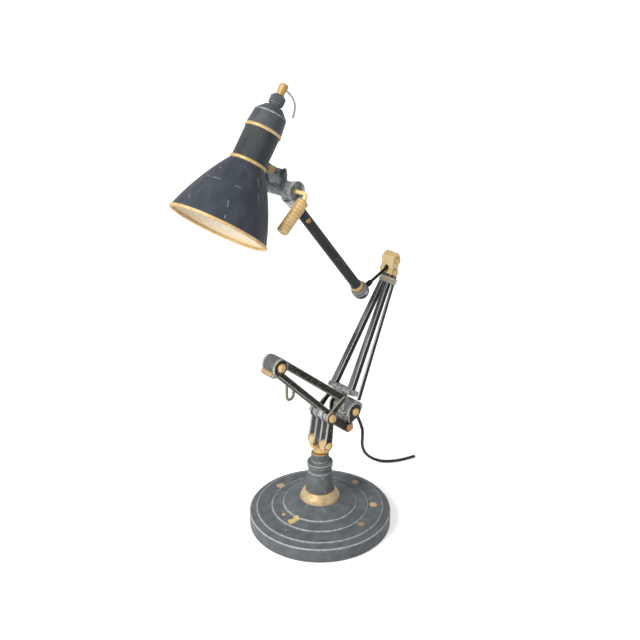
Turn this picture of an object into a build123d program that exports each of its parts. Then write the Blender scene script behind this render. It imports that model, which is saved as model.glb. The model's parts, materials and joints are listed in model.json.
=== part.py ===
from build123d import *
import os
from math import atan2, cos, degrees, pi, radians, sin, tan

# Balanced desk lamp: a round cast base and pillar, a swivelling cradle, a lower arm of flat straps and
# square rods, a short link, an upper tube and a bell shade on a cross barrel.
# The arm lies in the XZ plane, the shade is on the -X side and the near side is -Y.
# Lengths are millimetres and angles are degrees, counter-clockwise from +X seen from the near side.

# Base and pillar
base_diameter = 220
base_edge_height = 25
edge_bevel = 1.5
tier_1_diameter = 197
tier_2_diameter = 150
tier_3_diameter = 114
tier_1_height = 30
tier_2_height = 33
tier_3_height = 38
base_dome_rise = 10
tier_step = 2
base_wall = 14
base_crown = 12
base_boss_diameter = 60
felt_inset = 12
felt_thickness = 3
desk_gap = 1
stud_diameter = 12
nut_across_flats = 19
nut_thickness = 9
nut_recess_diameter = 34
nut_recess_depth = 14
collar_foot_diameter = 62
collar_height = 14
pillar_foot_diameter = 43.6
pillar_neck_diameter = 37.2
pillar_taper_height = 47
pillar_height = 78
pillar_ring_diameter = 39.4
pillar_ring_height = 9
pillar_ring_drop = 19
pillar_groove_diameter = 33
pillar_top_diameter = 27
bush_diameter = 16
bush_length = 40
bush_flange_diameter = 25
bush_flange_thickness = 1.5

# Swivelling yoke and cradle
spigot_diameter = 12
spigot_length = 36
yoke_neck_diameter = 21.4
yoke_bar_depth = 16
yoke_bar_thickness = 5
yoke_bar_rise = 4.5
yoke_ear_radius = 7.5
yoke_bolt_diameter = 6
pivot_shift = 6
cradle_rise = 45.7
plate_thickness = 3
plate_head_radius = 9.5
plate_foot_radius = 7
plate_waist = 10
web_thickness = 9
pivot_diameter = 9
pivot_head_diameter = 13.2
bolt_head_height = 5
bolt_dome_height = 4
lever_reach = 46.9
lever_angle = -38.9
lever_root_radius = 6
rear_bolt_diameter = 7
rear_bolt_head_diameter = 13
rear_boss_radius = 8.5
gland_seat_reach = 60.2
gland_seat_angle = -4.8
gland_seat_radius = 8
web_radius = 7
drum_radius = 10
drum_ribs = 5
rib_depth = 1
ear_bolt_reach = 46.6
ear_bolt_angle = -6.4
ear_head_radius = 12.8
ear_tip_radius = 4.5
ear_tip_reach = 14.5
ear_tip_angle = -122
ear_thickness = 2.5
ear_bolt_diameter = 6
ear_bolt_head_diameter = 12
gland_angle = -64
gland_diameter = 11
gland_tip_diameter = 7
gland_length = 28
gland_seat_depth = 7

# Lower arm
tail_length = 148.1
tail_angle = 128.9
strap_spacing = 21
strap_thickness = 3
lower_strap_width = 8
upper_strap_width = 10.4
upper_strap_lift = 7.5
lower_strap_drop = 7.2
pivot_strap_lift = 4.8
strap_lift_angle = 46
strut_length = 36.2
strut_angle = 35.4
strut_thickness = 2.5
strut_root_radius = 6.5
strut_tip_radius = 3.2
weight_diameter = 26
weight_eye_diameter = 25
weight_horn = 22
weight_horn_radius = 4.9
weight_bolt_diameter = 7
weight_bolt_head_diameter = 13
roller_diameter = 9.5
roller_pin_diameter = 4
roller_reach = 14.5
roller_angle = 219
roller_lug_radius = 3.6
roller_teeth = 16
wire_diameter = 4.2
wire_station = 58
wire_span = 13
wire_drop = 25
upright_angle = 59.3
upright_length = 182.5
elbow_rise = 16.7
elbow_offset = 4.3
elbow_height = 9
elbow_seat = 8
elbow_tail_drop = 4
elbow_tail_reach = 15.5
elbow_tail_radius = 3.6
elbow_width = 44.8
elbow_lug_radius = 6.5
rod_foot_width = 9.5
rod_foot_depth = 8.6
rod_foot_spacing = 35
rod_top_width = 7.6
rod_top_depth = 7.6
rod_top_spacing = 8.4
bar_thickness = 2.5
bar_stand_off = 0.9
bar_foot_depth = 7.4
bar_top_depth = 5
bar_foot_drop = 12
bar_foot_reach = 17.1
bar_top_reach = 5.8
bar_top_y = 9.75
clamp_height = 8.5
clamp_drop = 4
clamp_wall = 1.8
clamp_groove = 2
knuckle_angle = 77
knuckle_length = 34.5
knuckle_depth = 15
knuckle_width = 22
knuckle_chamfer = 5
knuckle_bolt_diameter = 5
knuckle_nut_across = 9
knuckle_nut_thickness = 4
knuckle_bolt_spacing = 18

# Link and upper tube
ball_diameter = 10
ball_station = 14.3
ball_forward = 0.5
link_mouth_angle = 15
link_mouth_clearance = 0.4
link_diameter = 4.5
link_length = 66.2
link_angle = 202
link_eye_diameter = 15
boot_diameter = 8
boot_length = 10
boot_gap = 2
cap_diameter = 25.4
cap_wall = 4
cap_slot_angle = 42
cap_seat = 10
cap_pin_diameter = 5
cap_band_depth = 0.8
cap_band_width = 2.2
ring_diameter = 19
ring_length = 6.5
tube_diameter = 15
tube_wall = 1.5
tube_length = 244
tube_angle = 128
tube_collar_diameter = 20
tube_collar_length = 18
tube_spigot_length = 28

# Head barrel, bracket, crank and grip
head_swing = 3.4
barrel_diameter = 22
barrel_length = 56
barrel_neck_diameter = 18
barrel_neck_length = 5
cup_diameter = 28.4
cup_depth = 9
cup_wall = 1.6
cup_flare = 2
spindle_diameter = 10
bracket_thickness = 6
bracket_arm_radius = 8
bracket_boss_radius = 11
quadrant_radius = 26
quadrant_start = -12
quadrant_end = 97
saddle_thickness = 12
saddle_height = 11
saddle_lift = 3
saddle_near_reach = 12
wing_reach = 20.5
wing_angle = 100
wing_screw_diameter = 6
wing_lug_radius = 7
wing_lug_length = 20
wing_lug_offset = 6
wing_hub_diameter = 10
wing_hub_length = 7
wing_span = 18
wing_thickness = 2.4
pad_diameter = 13
pad_thickness = 4
crank_diameter = 5.5
crank_standoff = 48
crank_angle = 218
crank_bend_radius = 9
crank_seat_depth = 9
grip_diameter = 16.4
grip_length = 52
grip_start = 11
grip_groove_depth = 0.6
grip_groove_width = 1.8
grip_grooves = 9
grip_end_wall = 4
grip_end_chamfer = 2

# Shade and lampholder, measured along the shade's axis from the rim
shade_angle = 51.9
shade_offset = 74
shade_station = 89
shade_wall = 1.2
rim_diameter = 132.6
rim_roll_diameter = 4.6
bell_middle_station = 47
bell_middle_diameter = 95.4
neck_diameter = 47.4
neck_wall = 1.4
neck_length = 53
neck_lap = 3
neck_ring_diameter = 51
neck_ring_width = 4.5
upper_ring_width = 4
cap_length = 22
cap_shoulder_diameter = 44
cap_crown_length = 10
cap_crown_diameter = 25
cap_shell = 2.5
nipple_diameter = 12
knob_diameter = 20.4
knob_length = 14
knob_waist_diameter = 16
knob_waist_length = 3
holder_diameter = 40
holder_length = 40
holder_mouth_diameter = 30
holder_mouth_depth = 24
bulb_cap_diameter = 26.5
bulb_cap_length = 25
bulb_diameter = 55
bulb_length = 94
bulb_shoulder_angle = 45
plug_length = 16
plug_diameter = 12.6
plug_foot_diameter = 10.6
plug_spigot_length = 5
plug_hole_drop = 5

# Cords
cord_diameter = 5
cord_straight = 28
cord_drape = [
    (105, 12.5, 107),
    (121, 29.5, 77.5),
    (142, 46.5, 49),
    (162, 58, 26),
    (178, 58.5, 11),
    (191, 50.5, 4),
]
cord_end = [(205.5, 40), (225, 30), (246, 24.8)]
pull_cord_diameter = 3
pull_straight = 12
pull_drape = [(8, -8.8), (11, -18.8), (9.3, -27.3), (5.6, -34.3)]
arc_share = 0.45

# Clearances
slide_clearance = 0.05
fit_clearance = 0.05
face_clearance = 0.3
side_clearance = 0.5
cut_reach = 100


def polar(point, distance, angle):
    """Point of the arm plane, (x, z), at a distance and an angle from another."""
    return (point[0] + distance * cos(radians(angle)), point[1] + distance * sin(radians(angle)))


def arm_plane(point, angle=0, y=0):
    """Plane of the arm with its local x at the given angle and its normal towards the near side."""
    x_dir = (cos(radians(angle)), 0, sin(radians(angle)))
    return Plane(origin=(point[0], y, point[1]), x_dir=x_dir, z_dir=(0, -1, 0))


def square_plane(point, angle):
    """Plane square to a direction of the arm, with local x along +Y and local y to the left of it."""
    z_dir = (cos(radians(angle)), 0, sin(radians(angle)))
    return Plane(origin=(point[0], 0, point[1]), x_dir=(0, 1, 0), z_dir=z_dir)


def cross_plane(point):
    """Plane through a cross axis, with its local x along that axis towards the near side."""
    return Plane(origin=(point[0], 0, point[1]), x_dir=(0, -1, 0), z_dir=(0, 0, 1))


def upright(z):
    """Plane through the pillar's axis, with its local x up that axis from a height."""
    return Plane(origin=(0, 0, z), x_dir=(0, 0, 1), z_dir=(0, -1, 0))


def turn(plane, points, mode=Mode.ADD):
    """Turned form about the plane's local x, from (station, radius) points."""
    with BuildSketch(plane) as profile:
        with BuildLine():
            Polyline(*points, close=True)
        make_face()
    return revolve(profile.sketch, axis=Axis(plane.origin, plane.x_dir), mode=mode)


def plate(plane, discs, thickness, mode=Mode.ADD):
    """Flat plate with the outline drawn tightly round discs given as (x, y, radius)."""
    with BuildSketch(plane) as outline:
        for x, y, radius in discs:
            with Locations((x, y)):
                Circle(radius)
        make_hull()
    return extrude(outline.sketch, amount=thickness, mode=mode)


def bore(point, radius):
    """Hole along a cross axis of the arm, through every layer."""
    with BuildSketch(arm_plane(point, y=cut_reach)) as hole:
        Circle(radius)
    return extrude(hole.sketch, amount=2 * cut_reach, mode=Mode.SUBTRACT)


def layer(side, inner, thickness):
    """Start in y of a plate that lies outside the given distance from the middle plane."""
    return -inner if side == "near" else inner + thickness


def hexagon(across_flats):
    """Radius over the corners of a hexagon."""
    return across_flats / 3 ** 0.5


def save(builder, name):
    builder.part.label = name
    export_step(builder.part, f"parts/{name}.step")


os.makedirs("parts", exist_ok=True)
sides = ("near", "far")

# Heights of the fixed stack
plinth_z = tier_3_height + base_dome_rise
pillar_top_z = plinth_z + pillar_height
yoke_z = pillar_top_z + bush_flange_thickness + face_clearance
bar_top_z = yoke_z + yoke_bar_rise + yoke_bar_thickness
ear_z = bar_top_z + plate_foot_radius + side_clearance
pivot = (pivot_shift, ear_z + cradle_rise)
nut_roof_z = felt_thickness + nut_recess_depth

# Distances of the cross layers from the middle plane
web_half = web_thickness / 2
inner_plate_y = web_half + slide_clearance
strap_y = strap_spacing / 2
strut_y = strap_y + strap_thickness
outer_plate_y = strut_y + strut_thickness + side_clearance
ear_y = outer_plate_y + plate_thickness
lug_inner_y = inner_plate_y + plate_thickness

# Points of the lower arm
apex = polar(pivot, tail_length, tail_angle)
corner = polar(pivot, strut_length, strut_angle)
rear_bolt = polar(pivot, lever_reach, lever_angle)
ear_bolt = polar(pivot, ear_bolt_reach, ear_bolt_angle)
gland_seat = polar(pivot, gland_seat_reach, gland_seat_angle)
upper_start = polar(apex, upper_strap_lift, strap_lift_angle)
lower_start = polar(apex, -lower_strap_drop, strap_lift_angle)
lower_end = polar(pivot, pivot_strap_lift, strap_lift_angle)
roller = polar(apex, roller_reach, roller_angle)
elbow = polar(polar(corner, elbow_rise, upright_angle), elbow_offset, upright_angle - 90)
rod_top = polar(elbow, upright_length, upright_angle)
ball = polar(polar(rod_top, ball_station, knuckle_angle), ball_forward, knuckle_angle + 90)

# Points of the upper arm and the head
cap_centre = polar(ball, link_length, link_angle)
barrel = polar(cap_centre, tube_length, tube_angle)
shade_foot = polar(barrel, shade_offset, shade_angle + 90)
rim = polar(shade_foot, -shade_station, shade_angle)
wing = polar(barrel, wing_reach, wing_angle)


# Base casting: tiered top that rises to the pillar, and underneath
# a felt recess, a nut recess and the hollow round its boss
base_radius = base_diameter / 2
felt_diameter = base_diameter - 2 * felt_inset
with BuildPart() as base_casting:
    turn(upright(0), [
        (nut_roof_z, stud_diameter / 2 + fit_clearance),
        (plinth_z, stud_diameter / 2 + fit_clearance),
        (plinth_z, collar_foot_diameter / 2),
        (tier_3_height, tier_3_diameter / 2),
        (tier_3_height - tier_step, tier_3_diameter / 2 + tier_step / 2),
        (tier_2_height, tier_2_diameter / 2),
        (tier_2_height - tier_step, tier_2_diameter / 2 + tier_step / 2),
        (tier_1_height, tier_1_diameter / 2),
        (tier_1_height - tier_step, tier_1_diameter / 2 + tier_step / 2),
        (base_edge_height, base_radius - edge_bevel),
        (base_edge_height - edge_bevel, base_radius),
        (desk_gap + edge_bevel, base_radius),
        (desk_gap, base_radius - edge_bevel),
        (desk_gap, felt_diameter / 2 + fit_clearance),
        (felt_thickness, felt_diameter / 2 + fit_clearance),
        (felt_thickness, nut_recess_diameter / 2),
        (nut_roof_z, nut_recess_diameter / 2),
    ])
    turn(upright(0), [
        (felt_thickness, base_boss_diameter / 2),
        (plinth_z - base_crown, base_boss_diameter / 2),
        (base_edge_height - base_crown, base_radius - base_wall - edge_bevel),
        (felt_thickness, base_radius - base_wall),
    ], mode=Mode.SUBTRACT)
save(base_casting, "base_casting")

# Felt disc that the lamp stands on
with BuildPart() as felt_pad:
    with BuildSketch():
        Circle(felt_diameter / 2)
    extrude(amount=felt_thickness)
save(felt_pad, "felt_pad")

# Pillar with its stud, taper, raised ring and bush bore
pillar_ring_z = pillar_height - pillar_ring_drop
stud_foot = felt_thickness + face_clearance - plinth_z
bore_floor = pillar_height - bush_length - face_clearance
with BuildPart() as pillar:
    turn(upright(plinth_z), [
        (stud_foot, 0),
        (stud_foot, stud_diameter / 2),
        (0, stud_diameter / 2),
        (0, pillar_foot_diameter / 2),
        (collar_height, pillar_foot_diameter / 2),
        (pillar_taper_height, pillar_neck_diameter / 2),
        (pillar_taper_height + edge_bevel, pillar_groove_diameter / 2),
        (pillar_ring_z - pillar_ring_height / 2, pillar_groove_diameter / 2),
        (pillar_ring_z - pillar_ring_height / 3, pillar_ring_diameter / 2),
        (pillar_ring_z + pillar_ring_height / 3, pillar_ring_diameter / 2),
        (pillar_ring_z + pillar_ring_height / 2, pillar_top_diameter / 2),
        (pillar_height, pillar_top_diameter / 2),
        (pillar_height, bush_diameter / 2 + fit_clearance),
        (bore_floor, bush_diameter / 2 + fit_clearance),
        (bore_floor, 0),
    ])
save(pillar, "pillar")

# Brass cone round the foot of the pillar
with BuildPart() as brass_collar:
    turn(upright(plinth_z), [
        (0, pillar_foot_diameter / 2 + fit_clearance),
        (collar_height, pillar_foot_diameter / 2 + fit_clearance),
        (collar_height, pillar_foot_diameter / 2 + edge_bevel),
        (collar_height / 3, collar_foot_diameter / 2 - edge_bevel),
        (0, collar_foot_diameter / 2),
    ])
save(brass_collar, "brass_collar")

# Nut and washer that draw the pillar down on the base
with BuildPart() as base_nut:
    with BuildSketch(Plane.XY.offset(nut_roof_z)):
        Circle(nut_recess_diameter / 2 - edge_bevel)
        Circle(stud_diameter / 2 + fit_clearance, mode=Mode.SUBTRACT)
    extrude(amount=-edge_bevel)
    with BuildSketch(Plane.XY.offset(nut_roof_z - edge_bevel)):
        RegularPolygon(hexagon(nut_across_flats), 6)
        Circle(stud_diameter / 2 + fit_clearance, mode=Mode.SUBTRACT)
    extrude(amount=-nut_thickness)
save(base_nut, "base_nut")

# Flanged bronze bush for the swivel
with BuildPart() as pillar_bush:
    turn(upright(pillar_top_z), [
        (-bush_length, spigot_diameter / 2 + slide_clearance),
        (bush_flange_thickness, spigot_diameter / 2 + slide_clearance),
        (bush_flange_thickness, bush_flange_diameter / 2),
        (0, bush_flange_diameter / 2),
        (0, bush_diameter / 2),
        (-bush_length, bush_diameter / 2),
    ])
save(pillar_bush, "pillar_bush")

# Brass yoke: spigot, neck, cross bar and two thick ears
lug_thickness = outer_plate_y - lug_inner_y
with BuildPart() as yoke:
    turn(upright(yoke_z), [
        (-spigot_length, 0),
        (-spigot_length, spigot_diameter / 2),
        (0, spigot_diameter / 2),
        (0, yoke_neck_diameter / 2 - edge_bevel),
        (edge_bevel, yoke_neck_diameter / 2),
        (yoke_bar_rise + yoke_bar_thickness / 2, yoke_neck_diameter / 2),
        (yoke_bar_rise + yoke_bar_thickness / 2, 0),
    ])
    with BuildSketch(Plane.XY.offset(yoke_z + yoke_bar_rise)):
        RectangleRounded(yoke_bar_depth, 2 * outer_plate_y, yoke_bar_depth / 3)
    extrude(amount=yoke_bar_thickness)
    for side in sides:
        plate(arm_plane((0, ear_z), y=layer(side, lug_inner_y, lug_thickness)), [
            (0, 0, yoke_ear_radius),
            (0, bar_top_z - ear_z + edge_bevel, yoke_ear_radius),
        ], lug_thickness)
    bore((0, ear_z), yoke_bolt_diameter / 2 + fit_clearance)
save(yoke, "yoke")

# Ball-headed bolts through the ears
with BuildPart() as yoke_bolts:
    for direction in (1, -1):
        turn(cross_plane((0, ear_z)), [
            (direction * inner_plate_y, 0),
            (direction * inner_plate_y, yoke_bolt_diameter / 2),
            (direction * ear_y, yoke_bolt_diameter / 2),
            (direction * ear_y, yoke_bolt_diameter),
            (direction * (ear_y + bolt_head_height / 2), yoke_bolt_diameter),
            (direction * (ear_y + bolt_head_height), yoke_bolt_diameter / 2),
            (direction * (ear_y + bolt_head_height), 0),
        ])
save(yoke_bolts, "yoke_bolts")

# Cradle plates: round heads on the main pivot, and on the outer pair a lever to the rear bolt
stem_discs = [(0, 0, plate_waist / 2), (-pivot_shift, -cradle_rise, plate_foot_radius)]
for side in sides:
    with BuildPart() as cradle_plate_inner:
        face = arm_plane(pivot, y=layer(side, inner_plate_y, plate_thickness))
        plate(face, [(0, 0, plate_head_radius)], plate_thickness)
        plate(face, stem_discs, plate_thickness)
        bore(pivot, pivot_diameter / 2 + fit_clearance)
        bore((0, ear_z), yoke_bolt_diameter / 2 + fit_clearance)
    save(cradle_plate_inner, f"cradle_plate_inner_{side}")
    with BuildPart() as cradle_plate_outer:
        face = arm_plane(pivot, y=layer(side, outer_plate_y, plate_thickness))
        plate(face, [(0, 0, plate_head_radius)], plate_thickness)
        plate(face, stem_discs, plate_thickness)
        lever_x, lever_z = polar((0, 0), lever_reach, lever_angle)
        plate(face, [(0, 0, lever_root_radius), (lever_x, lever_z, rear_boss_radius)], plate_thickness)
        bore(pivot, pivot_diameter / 2 + fit_clearance)
        bore((0, ear_z), yoke_bolt_diameter / 2 + fit_clearance)
        bore(rear_bolt, rear_bolt_diameter / 2 + fit_clearance)
    save(cradle_plate_outer, f"cradle_plate_outer_{side}")

# Main pivot bolt with its domed head and far nut
with BuildPart() as main_pivot_bolt:
    turn(cross_plane(pivot), [
        (-ear_y - bolt_head_height, 0),
        (-ear_y - bolt_head_height, pivot_diameter / 2),
        (ear_y, pivot_diameter / 2),
        (ear_y, pivot_head_diameter / 2),
        (ear_y + bolt_head_height / 2, pivot_head_diameter / 2),
        (ear_y + bolt_head_height, pivot_head_diameter / 3),
        (ear_y + bolt_head_height, 0),
    ])
    with BuildSketch(arm_plane(pivot, y=ear_y + bolt_head_height)) as pivot_nut:
        RegularPolygon(pivot_head_diameter / 2, 6)
        Circle(pivot_diameter / 2 + fit_clearance, mode=Mode.SUBTRACT)
    extrude(pivot_nut.sketch, amount=bolt_head_height)
save(main_pivot_bolt, "main_pivot_bolt")

# Spacers that keep the straps in the middle of each pair of plates
with BuildPart() as pivot_spacers:
    for direction in (1, -1):
        turn(cross_plane(pivot), [
            (direction * lug_inner_y, pivot_diameter / 2 + fit_clearance),
            (direction * (strap_y - face_clearance), pivot_diameter / 2 + fit_clearance),
            (direction * (strap_y - face_clearance), plate_head_radius - edge_bevel),
            (direction * lug_inner_y, plate_head_radius - edge_bevel),
        ])
save(pivot_spacers, "pivot_spacers")

# Rear bracket casting: web between the inner plates, a ribbed drum and the seat of the cord's gland
block_half = outer_plate_y - slide_clearance
lever_x, lever_z = polar((0, 0), lever_reach, lever_angle)
seat_x, seat_z = polar((0, 0), gland_seat_reach, gland_seat_angle)
ear_x, ear_rise = polar((0, 0), ear_bolt_reach, ear_bolt_angle)
gland_root = polar(gland_seat, gland_seat_radius - gland_seat_depth, gland_angle)
rib_pitch = 2 * block_half / drum_ribs
drum_profile = [(-block_half, 0)]
for index in range(drum_ribs):
    rib_start = index * rib_pitch - block_half
    drum_profile += [
        (rib_start, drum_radius - rib_depth),
        (rib_start + rib_pitch / 4, drum_radius),
        (rib_start + rib_pitch * 3 / 4, drum_radius),
    ]
drum_profile += [(block_half, drum_radius - rib_depth), (block_half, 0)]
with BuildPart() as rear_bracket:
    plate(arm_plane(pivot, y=web_half), [
        (0, 0, web_radius),
        (lever_x, lever_z, rear_boss_radius),
    ], web_thickness)
    turn(cross_plane(ear_bolt), drum_profile)
    for boss in ((lever_x, lever_z, rear_boss_radius), (seat_x, seat_z, gland_seat_radius)):
        plate(arm_plane(pivot, y=block_half), [boss, (ear_x, ear_rise, web_radius)], 2 * block_half)
    bore(pivot, pivot_diameter / 2 + fit_clearance)
    bore(rear_bolt, rear_bolt_diameter / 2 + fit_clearance)
    turn(arm_plane(gland_root, gland_angle), [
        (0, 0),
        (0, gland_diameter / 2 + fit_clearance),
        (gland_length, gland_diameter / 2 + fit_clearance),
        (gland_length, 0),
    ], mode=Mode.SUBTRACT)
save(rear_bracket, "rear_bracket")

# Teardrop ears outside the drum
tip_x, tip_z = polar((ear_x, ear_rise), ear_tip_reach, ear_tip_angle)
for side in sides:
    with BuildPart() as rear_ear:
        plate(arm_plane(pivot, y=layer(side, ear_y, ear_thickness)), [
            (ear_x, ear_rise, ear_head_radius),
            (tip_x, tip_z, ear_tip_radius),
        ], ear_thickness)
        bore(ear_bolt, ear_bolt_diameter / 2 + fit_clearance)
    save(rear_ear, f"rear_ear_{side}")

# Bolt through the rear bracket and the levers, with a nut on the far side
with BuildPart() as rear_bolt_set:
    turn(cross_plane(rear_bolt), [
        (-ear_y - bolt_head_height, 0),
        (-ear_y - bolt_head_height, rear_bolt_diameter / 2),
        (ear_y, rear_bolt_diameter / 2),
        (ear_y, rear_bolt_head_diameter / 2),
        (ear_y + bolt_head_height / 2, rear_bolt_head_diameter / 2),
        (ear_y + bolt_dome_height, rear_bolt_head_diameter / 3),
        (ear_y + bolt_dome_height, 0),
    ])
    with BuildSketch(arm_plane(rear_bolt, y=ear_y + bolt_head_height)) as rear_nut:
        RegularPolygon(rear_bolt_head_diameter / 2, 6)
        Circle(rear_bolt_diameter / 2 + fit_clearance, mode=Mode.SUBTRACT)
    extrude(rear_nut.sketch, amount=bolt_head_height)
save(rear_bolt_set, "rear_bolt")

# Short bolts in the round ends of the ears, with their spacers on the drum
ear_face = ear_y + ear_thickness
with BuildPart() as ear_bolts:
    for direction in (1, -1):
        turn(cross_plane(ear_bolt), [
            (direction * (outer_plate_y + fit_clearance), 0),
            (direction * (outer_plate_y + fit_clearance), ear_bolt_head_diameter / 2),
            (direction * ear_y, ear_bolt_head_diameter / 2),
            (direction * ear_y, ear_bolt_diameter / 2),
            (direction * ear_face, ear_bolt_diameter / 2),
            (direction * ear_face, ear_bolt_head_diameter / 2),
            (direction * (ear_face + bolt_head_height / 2), ear_bolt_head_diameter / 2),
            (direction * (ear_face + bolt_dome_height), ear_bolt_head_diameter / 3),
            (direction * (ear_face + bolt_dome_height), 0),
        ])
save(ear_bolts, "ear_bolts")

# Tapered strain relief seated in the rear bracket
with BuildPart() as cord_gland:
    turn(arm_plane(gland_root, gland_angle), [
        (0, 0),
        (0, gland_diameter / 2),
        (gland_seat_depth, gland_diameter / 2),
        (gland_length, gland_tip_diameter / 2),
        (gland_length, 0),
    ])
save(cord_gland, "cord_gland")


# Straps of the tail: the lower one from the weight to the pivot, the upper one from the weight to the elbow
lower_strap_discs = [
    (*lower_start, lower_strap_width / 2),
    (*lower_end, lower_strap_width / 2),
]
upper_strap_discs = [
    (*upper_start, upper_strap_width / 2),
    (*corner, upper_strap_width / 2),
]
for side in sides:
    face = arm_plane((0, 0), y=layer(side, strap_y, strap_thickness))
    with BuildPart() as lower_strap:
        plate(face, lower_strap_discs, strap_thickness)
        plate(face, [(*apex, weight_eye_diameter / 2)], strap_thickness)
        plate(face, [(*apex, weight_eye_diameter / 3), (*roller, roller_lug_radius)], strap_thickness)
        plate(face, [(*pivot, plate_head_radius - edge_bevel)], strap_thickness)
        bore(apex, weight_bolt_diameter / 2 + fit_clearance)
        bore(roller, roller_pin_diameter / 2 + slide_clearance)
        bore(pivot, pivot_diameter / 2 + slide_clearance)
    save(lower_strap, f"lower_strap_{side}")
    with BuildPart() as upper_strap:
        plate(face, upper_strap_discs, strap_thickness)
        plate(face, [(*apex, weight_eye_diameter / 2 + fit_clearance)], strap_thickness, mode=Mode.SUBTRACT)
        plate(
            face,
            [(x, z, radius + fit_clearance) for x, z, radius in lower_strap_discs],
            strap_thickness,
            mode=Mode.SUBTRACT,
        )
    save(upper_strap, f"upper_strap_{side}")

# Struts from the pivot to the elbow corner, outside the straps
with BuildPart() as corner_struts:
    for side in sides:
        plate(
            arm_plane((0, 0), y=layer(side, strut_y, strut_thickness)),
            [(*corner, strut_tip_radius), (*pivot, strut_root_radius)],
            strut_thickness,
        )
    bore(pivot, pivot_diameter / 2 + slide_clearance)
save(corner_struts, "corner_struts")

# Counterweight barrel between the straps, with a horn under the upper straps and a trough for the roller
weight_half = strap_y - slide_clearance
weight_face = arm_plane((0, 0), y=weight_half)
horn_direction = Vector(corner[0] - upper_start[0], corner[1] - upper_start[1]).normalized()
horn = (upper_start[0] + weight_horn * horn_direction.X, upper_start[1] + weight_horn * horn_direction.Y)
with BuildPart() as counterweight:
    plate(weight_face, [(*apex, weight_diameter / 2)], 2 * weight_half)
    plate(weight_face, [(*upper_start, weight_horn_radius), (*horn, weight_horn_radius)], 2 * weight_half)
    bore(apex, weight_bolt_diameter / 2 + fit_clearance)
    bore(roller, roller_diameter / 2 + side_clearance)
save(counterweight, "counterweight")

# Knurled trim roller in the trough of the weight, with its trunnions in the straps
roller_half = weight_half - face_clearance
with BuildPart() as trim_roller:
    with BuildSketch(arm_plane(roller, y=roller_half)) as knurl:
        Circle(roller_diameter / 2)
        with PolarLocations(roller_diameter / 2, roller_teeth):
            RegularPolygon(roller_diameter / roller_teeth, 3, mode=Mode.SUBTRACT)
    extrude(knurl.sketch, amount=2 * roller_half)
    with BuildSketch(arm_plane(roller, y=strut_y)) as trunnion:
        Circle(roller_pin_diameter / 2)
    extrude(trunnion.sketch, amount=2 * strut_y)
save(trim_roller, "trim_roller")

# Bolt through the weight and the strap eyes
with BuildPart() as weight_bolt:
    turn(cross_plane(apex), [
        (-strut_y - bolt_head_height, 0),
        (-strut_y - bolt_head_height, weight_bolt_diameter / 2),
        (strut_y, weight_bolt_diameter / 2),
        (strut_y, weight_bolt_head_diameter / 2),
        (strut_y + bolt_head_height / 2, weight_bolt_head_diameter / 2),
        (strut_y + bolt_head_height, weight_bolt_head_diameter / 3),
        (strut_y + bolt_head_height, 0),
    ])
    with BuildSketch(arm_plane(apex, y=strut_y + bolt_head_height)) as weight_nut:
        RegularPolygon(weight_bolt_head_diameter / 2, 6)
        Circle(weight_bolt_diameter / 2 + fit_clearance, mode=Mode.SUBTRACT)
    extrude(weight_nut.sketch, amount=bolt_head_height)
save(weight_bolt, "weight_bolt")

# Wire eye hung from the lower edge of the far strap
wire_y = strap_y + strap_thickness / 2
strap_angle = degrees(atan2(lower_end[1] - lower_start[1], lower_end[0] - lower_start[0]))
wire_middle = polar(lower_start, wire_station, strap_angle)
wire_x, wire_z = polar(wire_middle, lower_strap_width / 2, strap_angle - 90)
wire_foot_z = wire_z - wire_drop + wire_span / 2
with BuildPart() as wire_eye:
    with BuildLine() as wire_path:
        Line((wire_x, wire_y, wire_z), (wire_x, wire_y, wire_foot_z))
        ThreePointArc(
            (wire_x, wire_y, wire_foot_z),
            (wire_x + wire_span / 2, wire_y, wire_foot_z - wire_span / 2),
            (wire_x + wire_span, wire_y, wire_foot_z),
        )
        Line(
            (wire_x + wire_span, wire_y, wire_foot_z),
            (wire_x + wire_span, wire_y, wire_z + wire_span * tan(radians(strap_angle)) + wire_diameter),
        )
    with BuildSketch(Plane(origin=(wire_x, wire_y, wire_z), z_dir=(0, 0, -1))):
        Circle(wire_diameter / 2)
    sweep()
    plate(
        arm_plane((0, 0), y=strap_spacing),
        [(x, z, radius + slide_clearance) for x, z, radius in lower_strap_discs],
        strap_spacing,
        mode=Mode.SUBTRACT,
    )
save(wire_eye, "wire_eye")

# Elbow casting: lug between the straps, a wide seat for the front rods and a tail for the rear bar
elbow_half = elbow_width / 2
seat_radius = elbow_height / 2
seat_discs = [(-seat_radius, across, seat_radius) for across in (elbow_seat / 2, -elbow_seat / 2)]
with BuildPart() as elbow_casting:
    plate(
        arm_plane(elbow, upright_angle, y=elbow_half),
        seat_discs + [(-elbow_tail_drop, -elbow_tail_reach, elbow_tail_radius)],
        elbow_width,
    )
    plate(arm_plane(elbow, upright_angle, y=weight_half), [
        (-elbow_rise, elbow_offset, elbow_lug_radius),
        (-seat_radius, -elbow_seat / 2, seat_radius - slide_clearance),
        (-seat_radius, elbow_seat / 2, seat_radius - slide_clearance),
    ], 2 * weight_half)
save(elbow_casting, "elbow_casting")

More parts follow.
